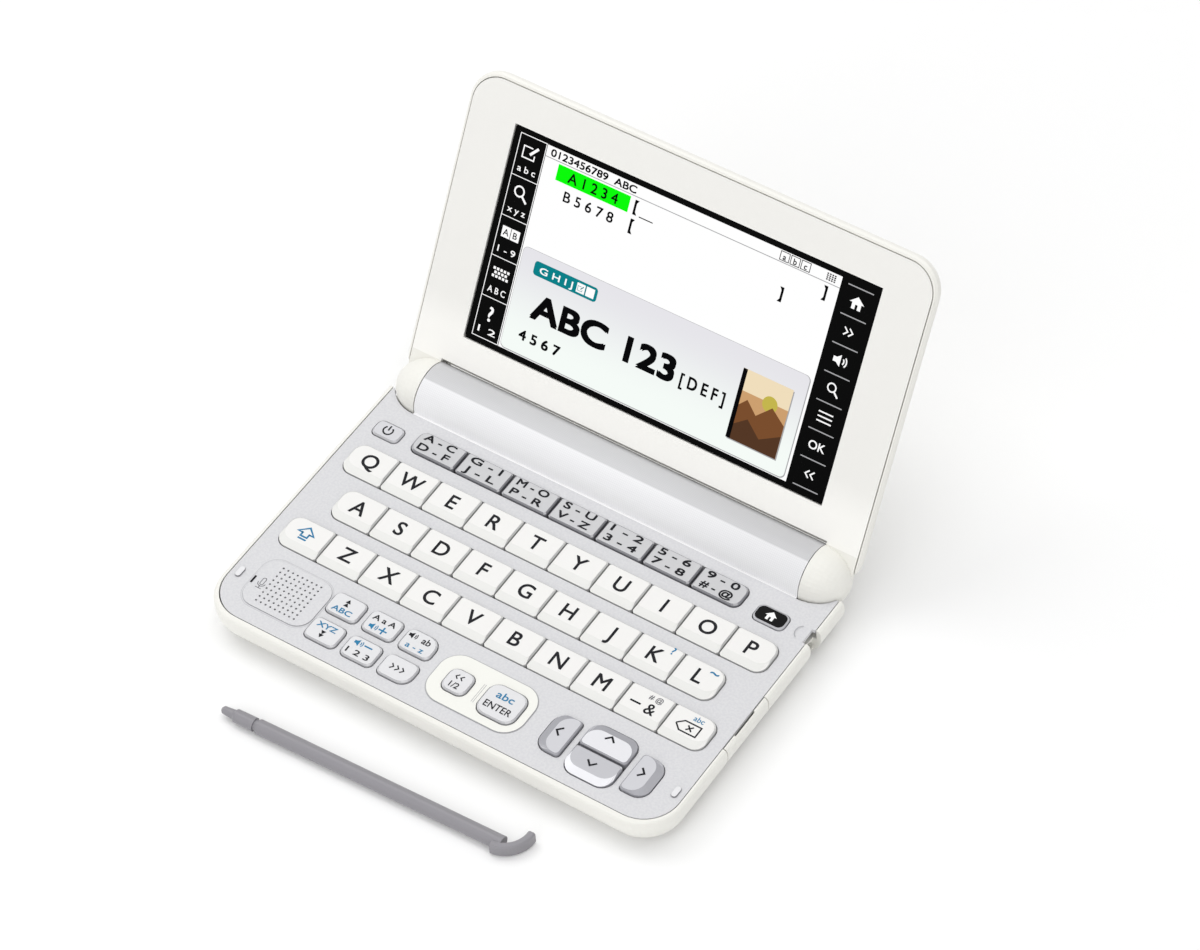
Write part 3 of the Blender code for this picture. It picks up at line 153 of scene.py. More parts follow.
class Graph:
    """One material, with short calls that add nodes to it."""

    def __init__(self, finish: Finish) -> None:
        """Start a material from a plain finish.

        Args:
            finish: The finish whose values go on the shader's sockets.
        """
        self.material = bpy.data.materials.new(finish.name)
        self.material.use_nodes = True
        self.tree = self.material.node_tree
        self.shader = self.tree.nodes["Principled BSDF"]
        inputs = self.shader.inputs
        inputs["Base Color"].default_value = linear(finish.colour)
        inputs["Roughness"].default_value = finish.roughness
        inputs["Metallic"].default_value = finish.metallic
        inputs["Specular IOR Level"].default_value = finish.specular
        if finish.glow:
            inputs["Emission Color"].default_value = linear(finish.colour)
            inputs["Emission Strength"].default_value = finish.glow
            inputs["Base Color"].default_value = (0.0, 0.0, 0.0, 1.0)
        self.material.diffuse_color = linear(finish.colour)
        if finish.grain:
            self.bump(self.noise(GRAIN_SCALE), finish.grain)

    def put(self, kind: str, values: dict[int | str, object]) -> bpy.types.Node:
        """Add a node and fill or link its inputs.

        Args:
            kind: The node's type name.
            values: Input index or name to a value or an output socket.

        Returns:
            The new node.
        """
        node = self.tree.nodes.new(kind)
        for key, value in values.items():
            if isinstance(value, Socket):
                self.tree.links.new(value, node.inputs[key])
            else:
                node.inputs[key].default_value = value
        return node

    def math(self, operation: str, first: object, second: object = 0.0) -> Socket:
        """Work on one or two values.

        Args:
            operation: What is done with them.
            first: A number or socket.
            second: A number or socket.

        Returns:
            The result.
        """
        node = self.put("ShaderNodeMath", {0: first, 1: second})
        node.operation = operation
        return node.outputs[0]

    def product(self, first: object, second: object) -> Socket:
        """Return one value times another."""
        return self.math("MULTIPLY", first, second)

    def above(self, value: Socket, limit: float) -> Socket:
        """Return one where a value is over a limit, and zero elsewhere."""
        return self.math("GREATER_THAN", value, limit)

    def below(self, value: Socket, limit: float) -> Socket:
        """Return one where a value is under a limit, and zero elsewhere."""
        return self.math("LESS_THAN", value, limit)

    def length(self, across: Socket, along: Socket) -> Socket:
        """Return the distance that two parts at right angles make."""
        squared = self.math("ADD", self.product(across, across), self.product(along, along))
        return self.math("SQRT", squared)

    def mix(self, share: Socket, first: Colour | Socket, second: Colour | Socket) -> Socket:
        """Blend two colours.

        Args:
            share: How much of the second one shows, from zero to one.
            first: The first colour.
            second: The second colour.

        Returns:
            The blend.
        """
        node = self.tree.nodes.new("ShaderNodeMix")
        node.data_type = "RGBA"
        for name, value in (("Factor_Float", share), ("A_Color", first), ("B_Color", second)):
            socket = next(each for each in node.inputs if each.identifier == name)
            if isinstance(value, Socket):
                self.tree.links.new(value, socket)
            else:
                socket.default_value = linear(value)
        return next(each for each in node.outputs if each.identifier == "Result_Color")

    def place(self, source: str = "Object") -> list[Socket]:
        """Return the three parts of a texture coordinate."""
        coordinate = self.tree.nodes.new("ShaderNodeTexCoord").outputs[source]
        return list(self.put("ShaderNodeSeparateXYZ", {0: coordinate}).outputs)

    def facing(self) -> Socket:
        """Return how far the face points up, from minus one to one."""
        geometry = self.tree.nodes.new("ShaderNodeNewGeometry")
        return self.put("ShaderNodeSeparateXYZ", {0: geometry.outputs["True Normal"]}).outputs[2]

    def ramp(self, value: Socket, start: float, stop: float) -> Socket:
        """Step smoothly from zero to one.

        Args:
            value: What the step follows.
            start: Where it leaves zero.
            stop: Where it reaches one.

        Returns:
            The step.
        """
        node = self.put("ShaderNodeMapRange", {0: value, 1: start, 2: stop, 3: 0.0, 4: 1.0})
        node.interpolation_type = "SMOOTHSTEP"
        return node.outputs[0]

    def noise(self, scale: float) -> Socket:
        """Make fine noise in the object's own coordinates.

        Args:
            scale: How fine it is.

        Returns:
            The noise, from zero to one.
        """
        coordinate = self.tree.nodes.new("ShaderNodeTexCoord")
        values = {"Vector": coordinate.outputs["Object"], "Scale": scale, "Detail": 2.0}
        return self.put("ShaderNodeTexNoise", values).outputs[0]

    def drive(self, name: str, value: Socket) -> None:
        """Link a value to one of the shader's inputs."""
        self.tree.links.new(value, self.shader.inputs[name])

    def bump(self, height: Socket, strength: float) -> None:
        """Give the shader a bump that shows this strongly."""
        values = {"Height": height, "Strength": strength, "Distance": BUMP_DEPTH}
        self.drive("Normal", self.put("ShaderNodeBump", values).outputs[0])


def ink(name: str, colour: Colour) -> Finish:
    """Return the finish of a printed mark."""
    return Finish(f"ink_{name}", colour, 0.6, specular=0.1)


def lit(name: str, colour: Colour) -> Finish:
    """Return the finish of a mark that the screen lights."""
    return Finish(f"lit_{name}", colour, 0.6, specular=0.0, glow=1.0)


CREAM = Finish("case_cream", (236, 235, 229), 0.32)
CREAM_FACE = Finish("bezel_cream", (236, 235, 231), 0.42, specular=0.3)
DECK = Finish("deck_silver", (215, 215, 217), 0.42, specular=0.4, grain=0.12)
DECK_SHADE: Colour = (209, 209, 212)
PAD_CREAM: Colour = (238, 238, 232)
PAD_LINE: Colour = (176, 176, 178)
# Bumpers: their own pale grey, lifted on top as a painted highlight, and painted shade on their
# sides.
BUMPER_TOP_LIT: Colour = (228, 228, 230)
BUMPER_SIDE_SHADE: Colour = (122, 122, 127)
# Painted shade in lines at the speaker pad's foot and along a groove line just outside it.
PAD_FOOT_SHADE: Colour = (182, 182, 185)
PAD_GROOVE_SHADE: Colour = (192, 192, 195)
# Barrel tones, painted for light and shade: the lit front, a painted highlight low down, painted
# shade and reflection on top, and a dark grey for the weave's lines and for the painted shade to
# the right.
BARREL_LIT_FRONT: Colour = (237, 237, 239)
BARREL_LOW_HIGHLIGHT: Colour = (252, 252, 253)
BARREL_TOP_SHADE: Colour = (204, 204, 206)
BARREL_WEAVE_AND_SHADE: Colour = (150, 150, 154)
# Painted light at the bezel's foot, against the shade that the barrel casts there.
BEZEL_FOOT_LIGHT: Colour = (247, 246, 242)
# Painted shade on the sides of raised parts, and in a line round the bumpers' feet.
RAISED_SHADE: Colour = (172, 172, 175)
RUBBER: Colour = (88, 88, 90)
KEY_WHITE = Finish("key_white", (236, 235, 233), 0.4, specular=0.35)
# Painted shade on the white keys' front slopes, and on their bevels and sides.
KEY_SLOPE_SHADE: Colour = (227, 227, 224)
KEY_SIDE_SHADE: Colour = (200, 200, 199)
CATEGORY = Finish("category_silver", (198, 198, 200), 0.38)
# Painted shade on the category keys' bevels and sides.
CATEGORY_SIDE_SHADE: Colour = (126, 126, 131)
FUNCTION = Finish("function_silver", (221, 221, 223), 0.38)
# Painted shade on the bevels and sides of the function and power keys.
FUNCTION_SIDE_SHADE: Colour = (184, 184, 187)
POWER = Finish("power_silver", (208, 208, 212), 0.38)
HOME = Finish("home_black", (4, 4, 5), 0.4, specular=0.12)
HOME_EDGE: Colour = (190, 190, 194)
# Arrow keys: lit and shaded tones of one silver, with painted shade on their slopes and sides and a
# painted highlight on the down arrow's slope.
ARROW_UP_LIT = Finish("arrow_up_silver", (226, 226, 230), 0.25)
ARROW_DOWN_SHADED = Finish("arrow_down_silver", (190, 190, 195), 0.25)
ARROW_SIDE_SHADED = Finish("arrow_side_silver", (203, 203, 208), 0.25)
ARROW_SLOPE_SHADE: Colour = (160, 160, 166)
ARROW_SLOPE_HIGHLIGHT: Colour = (236, 236, 240)
GLASS = Finish("display_black", (1, 1, 1), 0.5, specular=0.04)
STYLUS = Finish("stylus_grey", (140, 138, 143), 0.42)
STEEL = Finish("hinge_steel", (190, 190, 194), 0.3, metallic=1.0)
CELL = Finish("cell_sleeve", (60, 78, 120), 0.35)
INK = ink("dark", (34, 34, 38))
INK_BLUE = ink("blue", (50, 126, 168))
INK_GREY = ink("grey", (92, 92, 98))
INK_PALE = ink("pale", (168, 168, 172))
INK_WHITE = ink("white", (246, 246, 246))
LIT_WHITE = lit("white", (255, 255, 255))
LIT_GREY = lit("grey", (168, 168, 170))
LIT_BLACK = lit("black", (10, 10, 12))
LIT_GREEN = lit("green", (12, 250, 12))
LIT_TEAL = lit("teal", (12, 128, 136))
LIT_TAN = lit("tan", (205, 160, 112))
LIT_BROWN = lit("brown", (122, 78, 46))
LIT_UMBER = lit("umber", (84, 56, 38))
LIT_CREAM = lit("cream", (240, 222, 188))
LIT_OLIVE = lit("olive", (196, 182, 78))
PANEL = lit("panel", (240, 244, 242))
PANEL_TOP: Colour = (230, 229, 234)
PANEL_FOOT: Colour = (245, 251, 247)


@dataclass(frozen=True)
class Pad:
    """Plan of something raised on the deck, with round corners, in millimetres."""

    x: float
    y: float
    width: float
    depth: float
    corner: float
    twin: bool = False


ENTER_PAD = Pad(8.9, -32.9, 29.8, 16.4, 6.0)
SPEAKER_PAD = Pad(-53.9, -32.3, 21.6, 16.4, 4.5)
BUMPER_PAD = Pad(68.9, -32.9, 1.5, 3.4, 0.72, twin=True)


@dataclass
class DeckPaint:
    """Colours of the deck: speckled silver with raised pads, painted shade and a painted highlight
    on the pads and bumpers, and a barrel painted in three tones of light and shade over a fine
    weave.
    """

    edge_height: float = 0.01
    face_height: float = 0.12
    upright: float = 0.9
    speckle_scale: float = 1500.0
    speckle: Point = (0.35, 0.65)
    edge: Point = (0.0, 0.2)
    groove: Point = (0.42, 0.6)
    enter_line: Point = (INSIDE, 0.25)
    enter_face: Point = (INSIDE, -0.1)
    bumper_face: Point = (INSIDE, 0.1)
    barrel_front: float = 35.6
    barrel_half: float = 61.4
    barrel_radius: float = 8.5
    # Angles in degrees of the painted highlight low on the barrel and of the painted shade on its
    # top, then the reach and share of the painted shade to the right.
    low_highlight_angles: Point = (5.0, 50.0)
    top_shade_angles: Point = (70.0, 73.5)
    shade_reach: float = 60.0
    shade_share: float = 0.09
    weave_pitch: float = 1.1
    weave_depth: float = 0.07

    def __post_init__(self) -> None:
        """Start the deck's material."""
        self.graph = Graph(DECK)
        self.x, self.y, self.z = self.graph.place()
        self.mirrored = self.graph.math("ABSOLUTE", self.x)

    def past(self, value: Socket, centre: float, half: float) -> Socket:
        """Return how far a place lies past a span round a centre, or zero inside it."""
        away = self.graph.math("ABSOLUTE", self.graph.math("SUBTRACT", value, centre * MM))
        return self.graph.math("MAXIMUM", self.graph.math("SUBTRACT", away, half * MM), 0.0)

    def ring(self, pad: Pad, band: Point) -> Socket:
        """Mark a band that runs round a pad, or all of the pad if it starts at INSIDE.

        Args:
            pad: The pad.
            band: How far past the pad's outline the band starts and stops.

        Returns:
            One on the band and zero elsewhere.
        """
        x = self.mirrored if pad.twin else self.x
        across = self.past(x, pad.x, 0.5 * pad.width - pad.corner)
        along = self.past(self.y, pad.y - PLAN_CENTRE, 0.5 * pad.depth - pad.corner)
        reach = self.graph.length(across, along)
        start, stop = ((pad.corner + limit) * MM for limit in band)
        return self.graph.product(self.graph.above(reach, start), self.graph.below(reach, stop))

    def plate(self) -> Socket:
        """Colour the flat part, its pads and the lines round them, with painted shade at the
        speaker pad's foot, along a groove line outside it, round the bumpers' feet and on the sides
        of raised parts, and a painted highlight on the bumpers' tops.

        Returns:
            The colour.
        """
        graph = self.graph
        side = graph.below(graph.facing(), self.upright)
        raised = graph.above(self.z, (DECK_TOP + self.edge_height) * MM)
        on_face = graph.above(self.z, (DECK_TOP + self.face_height) * MM)
        speckle = graph.ramp(graph.noise(self.speckle_scale), *self.speckle)
        colour = graph.mix(speckle, DECK.colour, DECK_SHADE)
        # Painted shade lines, the enter pad's own line and cream face, then painted shade on the
        # sides of raised parts.
        for share, tone in (
            (self.ring(SPEAKER_PAD, self.edge), PAD_FOOT_SHADE),
            (self.ring(SPEAKER_PAD, self.groove), PAD_GROOVE_SHADE),
            (self.ring(BUMPER_PAD, self.edge), RAISED_SHADE),
            (self.ring(ENTER_PAD, self.enter_line), PAD_LINE),
            (graph.product(self.ring(ENTER_PAD, self.enter_face), on_face), PAD_CREAM),
            (graph.product(side, raised), RAISED_SHADE),
        ):
            colour = graph.mix(share, colour, tone)
        # Bumpers: painted highlight on top and painted shade on their sides.
        bumper = graph.product(self.ring(BUMPER_PAD, self.bumper_face), raised)
        return graph.mix(bumper, colour, graph.mix(side, BUMPER_TOP_LIT, BUMPER_SIDE_SHADE))

    def weave(self, angle: Socket) -> Socket:
        """Draw fine crossed lines round the barrel.

        Args:
            angle: Angle round the barrel's axis.

        Returns:
            How much the lines darken the barrel.
        """
        graph = self.graph
        turn = 2.0 * math.pi / (self.weave_pitch * MM)
        along = graph.product(self.x, turn)
        around = graph.product(angle, self.barrel_radius * MM * turn)
        rising = graph.math("SINE", graph.math("ADD", along, around))
        falling = graph.math("SINE", graph.math("SUBTRACT", along, around))
        crossed = graph.math("ADD", graph.product(rising, falling), 1.0)
        return graph.product(crossed, self.weave_depth)

    def barrel(self) -> Socket:
        """Colour the barrel by the angle round its axis, as a painted highlight low at the front
        and painted shade and reflection on top, with painted shade growing to the right.

        Returns:
            The colour.
        """
        graph = self.graph
        ahead = graph.math("SUBTRACT", (AXIS_Y - PLAN_CENTRE) * MM, self.y)
        angle = graph.math("ARCTAN2", graph.math("SUBTRACT", self.z, AXIS_Z * MM), ahead)
        low = graph.ramp(angle, *map(math.radians, self.low_highlight_angles))
        top = graph.ramp(angle, *map(math.radians, self.top_shade_angles))
        # Painted highlight low at the front, painted shade and reflection on top.
        tone = graph.mix(top, graph.mix(low, BARREL_LOW_HIGHLIGHT, BARREL_LIT_FRONT), BARREL_TOP_SHADE)
        # Painted shade growing to the right, mixed in with the weave's lines.
        right_shade = graph.product(graph.ramp(self.x, 0.0, self.shade_reach * MM), self.shade_share)
        return graph.mix(graph.math("ADD", self.weave(angle), right_shade), tone, BARREL_WEAVE_AND_SHADE)

    def material(self) -> Material:
        """Put the flat part and the barrel together.

        Returns:
            The deck's material.
        """
        behind = self.graph.above(self.y, (self.barrel_front - PLAN_CENTRE) * MM)
        between = self.graph.below(self.mirrored, self.barrel_half * MM)
        on_barrel = self.graph.product(behind, between)
        colour = self.graph.mix(on_barrel, self.plate(), self.barrel())
        self.graph.drive("Base Color", colour)
        return self.graph.material


class Palette:
    """Makes the materials."""

    def __init__(self) -> None:
        """Start with no plain material made."""
        self.made: dict[str, Material] = {}

    def plain(self, finish: Finish) -> Material:
        """Return the material of a plain finish, made once."""
        if finish.name not in self.made:
            self.made[finish.name] = Graph(finish).material
        return self.made[finish.name]

    def key(self, finish: Finish, slope: Colour, edge: Colour) -> Material:
        """Make a key's material, with other colours on the sloping face and on the sides: painted
        shade and highlight on most keys, and the real silver sides on the home key.

        Args:
            finish: The finish of the top.
            slope: Colour of faces that lean a little: painted shade, a painted highlight on the
                down arrow, the top's own colour on the silver keys, and the real silver on the home
                key.
            edge: Colour of the bevels and sides: painted shade, except the home key's real silver
                sides.

        Returns:
            The material.
        """
        graph = Graph(finish)
        facing = graph.facing()
        # Leaning faces take the slope and side colours: painted shade and highlight, and the home
        # key's real silver.
        leaning = graph.mix(graph.ramp(facing, *SIDE_LEAN), edge, slope)
        colour = graph.mix(graph.ramp(facing, *SLOPE_LEAN), leaning, finish.colour)
        graph.drive("Base Color", colour)
        return graph.material

    def case(self) -> Material:
        """Make the case's material, with rubber on the feet below the underside.

        Returns:
            The material.
        """
        graph = Graph(CREAM)
        feet = graph.below(graph.place()[2], FOOT_HEIGHT * MM)
        graph.drive("Base Color", graph.mix(feet, CREAM.colour, RUBBER))
        return graph.material

    def bezel(self) -> Material:
        """Make the bezel's material, with painted light at its foot against the shade there, and
        with the case's colour on the domes.

        Returns:
            The material.
        """
        graph = Graph(CREAM_FACE)
        _, y, z = graph.place()
        along = graph.math("SUBTRACT", y, (AXIS_Y - PLAN_CENTRE) * MM)
        reach = graph.length(along, graph.math("SUBTRACT", z, AXIS_Z * MM))
        above_foot = graph.ramp(reach, *(limit * MM for limit in BEZEL_LIGHT_REACH))
        # Painted light at the foot.
        face = graph.mix(above_foot, BEZEL_FOOT_LIGHT, CREAM_FACE.colour)
        dome = graph.below(reach, DOME_RADIUS * MM)
        graph.drive("Base Color", graph.mix(dome, face, CREAM.colour))
        return graph.material

    def panel(self) -> Material:
        """Make the light panel of the screen, which pales towards its foot.

        Returns:
            The material.
        """
        graph = Graph(PANEL)
        share = graph.ramp(graph.place("UV")[1], *PANEL_TONE)
        graph.drive("Emission Color", graph.mix(share, PANEL_FOOT, PANEL_TOP))
        return graph.material


class Sheet:
    """Flat marks of several finishes that become one piece."""

    def __init__(self, palette: Palette) -> None:
        """Start an empty sheet.

        Args:
            palette: Where the marks' materials come from.
        """
        self.palette = palette
        self.shape = bmesh.new()
        self.uv = self.shape.loops.layers.uv.new("sheet")
        self.finishes: list[Finish] = []

    def polygon(self, points: Sequence[Point], finish: Finish, layer: float = 0.0) -> None:
        """Add one filled outline, given in millimetres.

        Args:
            points: The outline, in either direction.
            finish: Its finish.
            layer: How many layers it lies above the sheet.
        """
        if finish not in self.finishes:
            self.finishes.append(finish)
        verts = [self.shape.verts.new((x, y, layer * LAYER)) for x, y in points]
        face = self.shape.faces.new(verts)
        face.normal_update()
        if face.normal.z < 0.0:
            face.normal_flip()
        face.material_index = self.finishes.index(finish)
        for loop in face.loops:
            loop[self.uv].uv = loop.vert.co.xy

    def box(self, span: Span, finish: Finish, layer: float = 0.0) -> None:
        """Fill a rectangle."""
        x0, x1, y0, y1 = span
        self.polygon([(x0, y0), (x1, y0), (x1, y1), (x0, y1)], finish, layer)

    def round_box(self, span: Span, radius: float, finish: Finish, layer: float = 0.0) -> None:
        """Fill a rectangle with round corners.

        Args:
            span: The rectangle.
            radius: Radius of its corners.
            finish: Its finish.
            layer: How many layers it lies above the sheet.
        """
        left, right, low, high = span
        left, right, low, high = left + radius, right - radius, low + radius, high - radius
        points = []
        for k, corner in enumerate(((right, high), (left, high), (left, low), (right, low))):
            points += arc(corner, radius, 90.0 * k, 90.0 * (k + 1), ROUND_STEPS)
        self.polygon(points, finish, layer)

    def frame(self, span: Span, width: float, finish: Finish, layer: float = 0.0) -> None:
        """Draw a rectangle's outline.

        Args:
            span: The rectangle.
            width: Width of the line, inside its sides.
            finish: Its finish.
            layer: How many layers it lies above the sheet.
        """
        x0, x1, y0, y1 = span
        for side in (
            (x0, x1, y0, y0 + width),
            (x0, x1, y1 - width, y1),
            (x0, x0 + width, y0 + width, y1 - width),
            (x1 - width, x1, y0 + width, y1 - width),
        ):
            self.box(side, finish, layer)

    def disc(self, centre: Point, radius: float, finish: Finish, layer: float = 0.0) -> None:
        """Add a filled circle."""
        last = DISC_POINTS - 1
        self.polygon(arc(centre, radius, 0.0, 360.0 * last / DISC_POINTS, last), finish, layer)

    def stroke(
        self, points: Sequence[Point], width: float, finish: Finish, layer: float = 0.0
    ) -> None:
        """Add a line of one width through points, with mitred corners.

        Args:
            points: The middle of the line.
            width: The line's width.
            finish: Its finish.
            layer: How many layers it lies above the sheet.
        """
        path = [Vector(point) for point in points]
        steps = [(after - before).normalized() for before, after in zip(path, path[1:])]
        left, right = [], []
        for k, point in enumerate(path):
            before = steps[max(0, k - 1)]
            after = steps[min(len(steps) - 1, k)]
            along = (before + after).normalized()
            normal = Vector((-along.y, along.x))
            reach = 0.5 * width / max(0.5, along.dot(after))
            left.append(point + reach * normal)
            right.append(point - reach * normal)
        for k in range(len(path) - 1):
            corners = (left[k], left[k + 1], right[k + 1], right[k])
            self.polygon([tuple(corner) for corner in corners], finish, layer)

    def text(
        self,
        body: str,
        centre: Point,
        height: float,
        finish: Finish,
        layer: float = 0.0,
        weight: float = 0.0,
        width: float = 0.0,
    ) -> None:
        """Add words whose capitals have this height, centred on a point.

        Args:
            body: The characters.
            centre: Middle of the words, and half a capital's height above their baseline.
            height: Height of a capital letter.
            finish: Their finish.
            layer: How many layers they lie above the sheet.
            weight: How far the strokes are thickened on each side.
            width: If given, the width that the words are fitted to.
        """
        curve = bpy.data.curves.new("glyphs", "FONT")
        curve.body = body
        curve.size = height / CAPITAL_SHARE
        curve.resolution_u = 6
        writer = add("glyphs", curve)
        graph = bpy.context.evaluated_depsgraph_get()
        mesh = bpy.data.meshes.new_from_object(writer.evaluated_get(graph))
        across = [vert.co.x for vert in mesh.vertices]
        middle = 0.5 * (min(across) + max(across))
        squeeze = width / (max(across) - min(across)) if width else 1.0
        corners = [(a * weight, b * weight) for a in (-1.0, 1.0) for b in (-1.0, 1.0)]
        shifts = corners if weight else [(0.0, 0.0)]
        for face in mesh.polygons:
            outline = [mesh.vertices[index].co for index in face.vertices]
            for k, (dx, dy) in enumerate(shifts):
                left = centre[0] - squeeze * middle + dx
                foot = centre[1] - 0.5 * height + dy
                moved = [(left + squeeze * co.x, foot + co.y) for co in outline]
                self.polygon(moved, finish, layer + k / STRIKES)
        bpy.data.objects.remove(writer)
        bpy.data.curves.remove(curve)
        bpy.data.meshes.remove(mesh)

    def piece(self, name: str, place: Matrix, body: str, slot: Slot) -> None:
        """Make the sheet an object where it belongs.

        Args:
            name: The object's name.
            place: Matrix from the sheet's millimetres to the model's metres.
            body: The CAD body that it rides on.
            slot: The record slot of its finish; not used.
        """
        bmesh.ops.transform(self.shape, matrix=place, verts=self.shape.verts)
        mesh = bpy.data.meshes.new(name)
        self.shape.to_mesh(mesh)
        self.shape.free()
        for finish in self.finishes:
            made = self.palette.panel() if finish is PANEL else self.palette.plain(finish)
            mesh.materials.append(made)
        piece = add(name, mesh)
        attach(piece, body)
        LOG.info("%s has %d faces on %s", name, len(mesh.polygons), body)


@dataclass
class Icon:
    """A small picture that stands in for printed words, drawn in shares of its size."""

    sheet: Sheet
    x: float
    y: float
    size: float
    finish: Finish
    layer: float = 0.0

    def spots(self, shares: Sequence[Point]) -> list[Point]:
        """Return places on the sheet from shares of the size past the picture's middle."""
        return [(self.x + self.size * a, self.y + self.size * b) for a, b in shares]

    def fill(self, *shares: Point) -> None:
        """Fill an outline."""
        self.sheet.polygon(self.spots(shares), self.finish, self.layer)

    def line(self, width: float, *shares: Point) -> None:
        """Draw a line, with its width in the same shares."""
        self.sheet.stroke(self.spots(shares), width * self.size, self.finish, self.layer)

    def block(self, x0: float, x1: float, y0: float, y1: float) -> None:
        """Fill a rectangle."""
        self.fill((x0, y0), (x1, y0), (x1, y1), (x0, y1))

    def speaker(self) -> None:
        """Draw a loudspeaker with two waves."""
        self.block(-0.5, -0.25, -0.18, 0.18)
        self.fill((-0.25, -0.18), (0.05, -0.42), (0.05, 0.42), (-0.25, 0.18))
        for radius in (0.28, 0.48):
            self.line(0.1, *arc((0.02, 0.0), radius, -42.0, 42.0, 6))

    def triangle(self) -> None:
        """Draw a filled triangle that points up, or down if its size is negative."""
        self.fill((-0.62, -0.5), (0.62, -0.5), (0.0, 0.5))

    def power(self) -> None:
        """Draw an open ring with a bar in its gap."""
        self.line(0.14, *arc((0.0, 0.0), 0.42, -230.0, 50.0, 20))
        self.line(0.14, (0.0, 0.0), (0.0, 0.52))

    def house(self) -> None:
        """Draw a small house."""
        self.fill((-0.6, 0.0), (0.6, 0.0), (0.0, 0.5))
        self.block(-0.38, -0.1, -0.5, 0.0)
        self.block(0.1, 0.38, -0.5, 0.0)
        self.block(-0.1, 0.1, -0.12, 0.0)

    def shift(self) -> None:
        """Draw a broad arrow that points up, over a bar."""
        head = ((-0.62, 0.02), (0.0, 0.55), (0.62, 0.02))
        self.line(0.13, (-0.26, 0.02), *head, (0.26, 0.02))
        self.line(0.13, (-0.26, 0.08), (-0.26, -0.28), (0.26, -0.28), (0.26, 0.08))
        self.block(-0.33, 0.33, -0.56, -0.43)

    def erase(self) -> None:
        """Draw a tag that points left with a cross inside."""
        tip = (-1.05, 0.0)
        self.line(0.13, tip, (-0.5, 0.5), (1.0, 0.5), (1.0, -0.5), (-0.5, -0.5), tip)
        for side in (-1.0, 1.0):
            self.line(0.13, (-0.05, -0.24 * side), (0.45, 0.24 * side))

    def lens(self) -> None:
        """Draw a magnifying glass."""
        self.line(0.1, *arc((-0.1, 0.1), 0.3, 0.0, 360.0, 20))
        self.line(0.13, (0.14, -0.14), (0.46, -0.46))

    def pencil(self) -> None:
        """Draw a pencil over an open box."""
        self.line(0.08, (0.1, 0.3), (-0.5, 0.3), (-0.5, -0.4), (0.3, -0.4), (0.3, -0.1))
        self.line(0.16, (-0.02, -0.12), (0.46, 0.42))

    def microphone(self) -> None:
        """Draw a microphone on a foot."""
        head = [*arc((0.0, 0.9), 0.5, 180.0, 0.0, 8), *arc((0.0, -0.5), 0.5, 0.0, -180.0, 8)]
        self.line(0.18, (-0.5, -0.5), *head)
        self.line(0.18, *arc((0.0, -0.4), 1.1, 180.0, 360.0, 12))
        self.line(0.18, (0.0, -1.5), (0.0, -2.1))
        self.line(0.18, (-0.9, -2.2), (0.9, -2.2))

    def chevron(self, turn: float, width: float) -> None:
        """Draw an open arrowhead.

        Args:
            turn: The way that it points, in degrees.
            width: Width of its line in millimetres.
        """
        across, along = math.cos(math.radians(turn)), math.sin(math.radians(turn))
        spread = ((-0.5, 1.0), (0.5, 0.0), (-0.5, -1.0))
        turned = [(p * across - q * along, p * along + q * across) for p, q in spread]
        self.sheet.stroke(self.spots(turned), width, self.finish, self.layer)


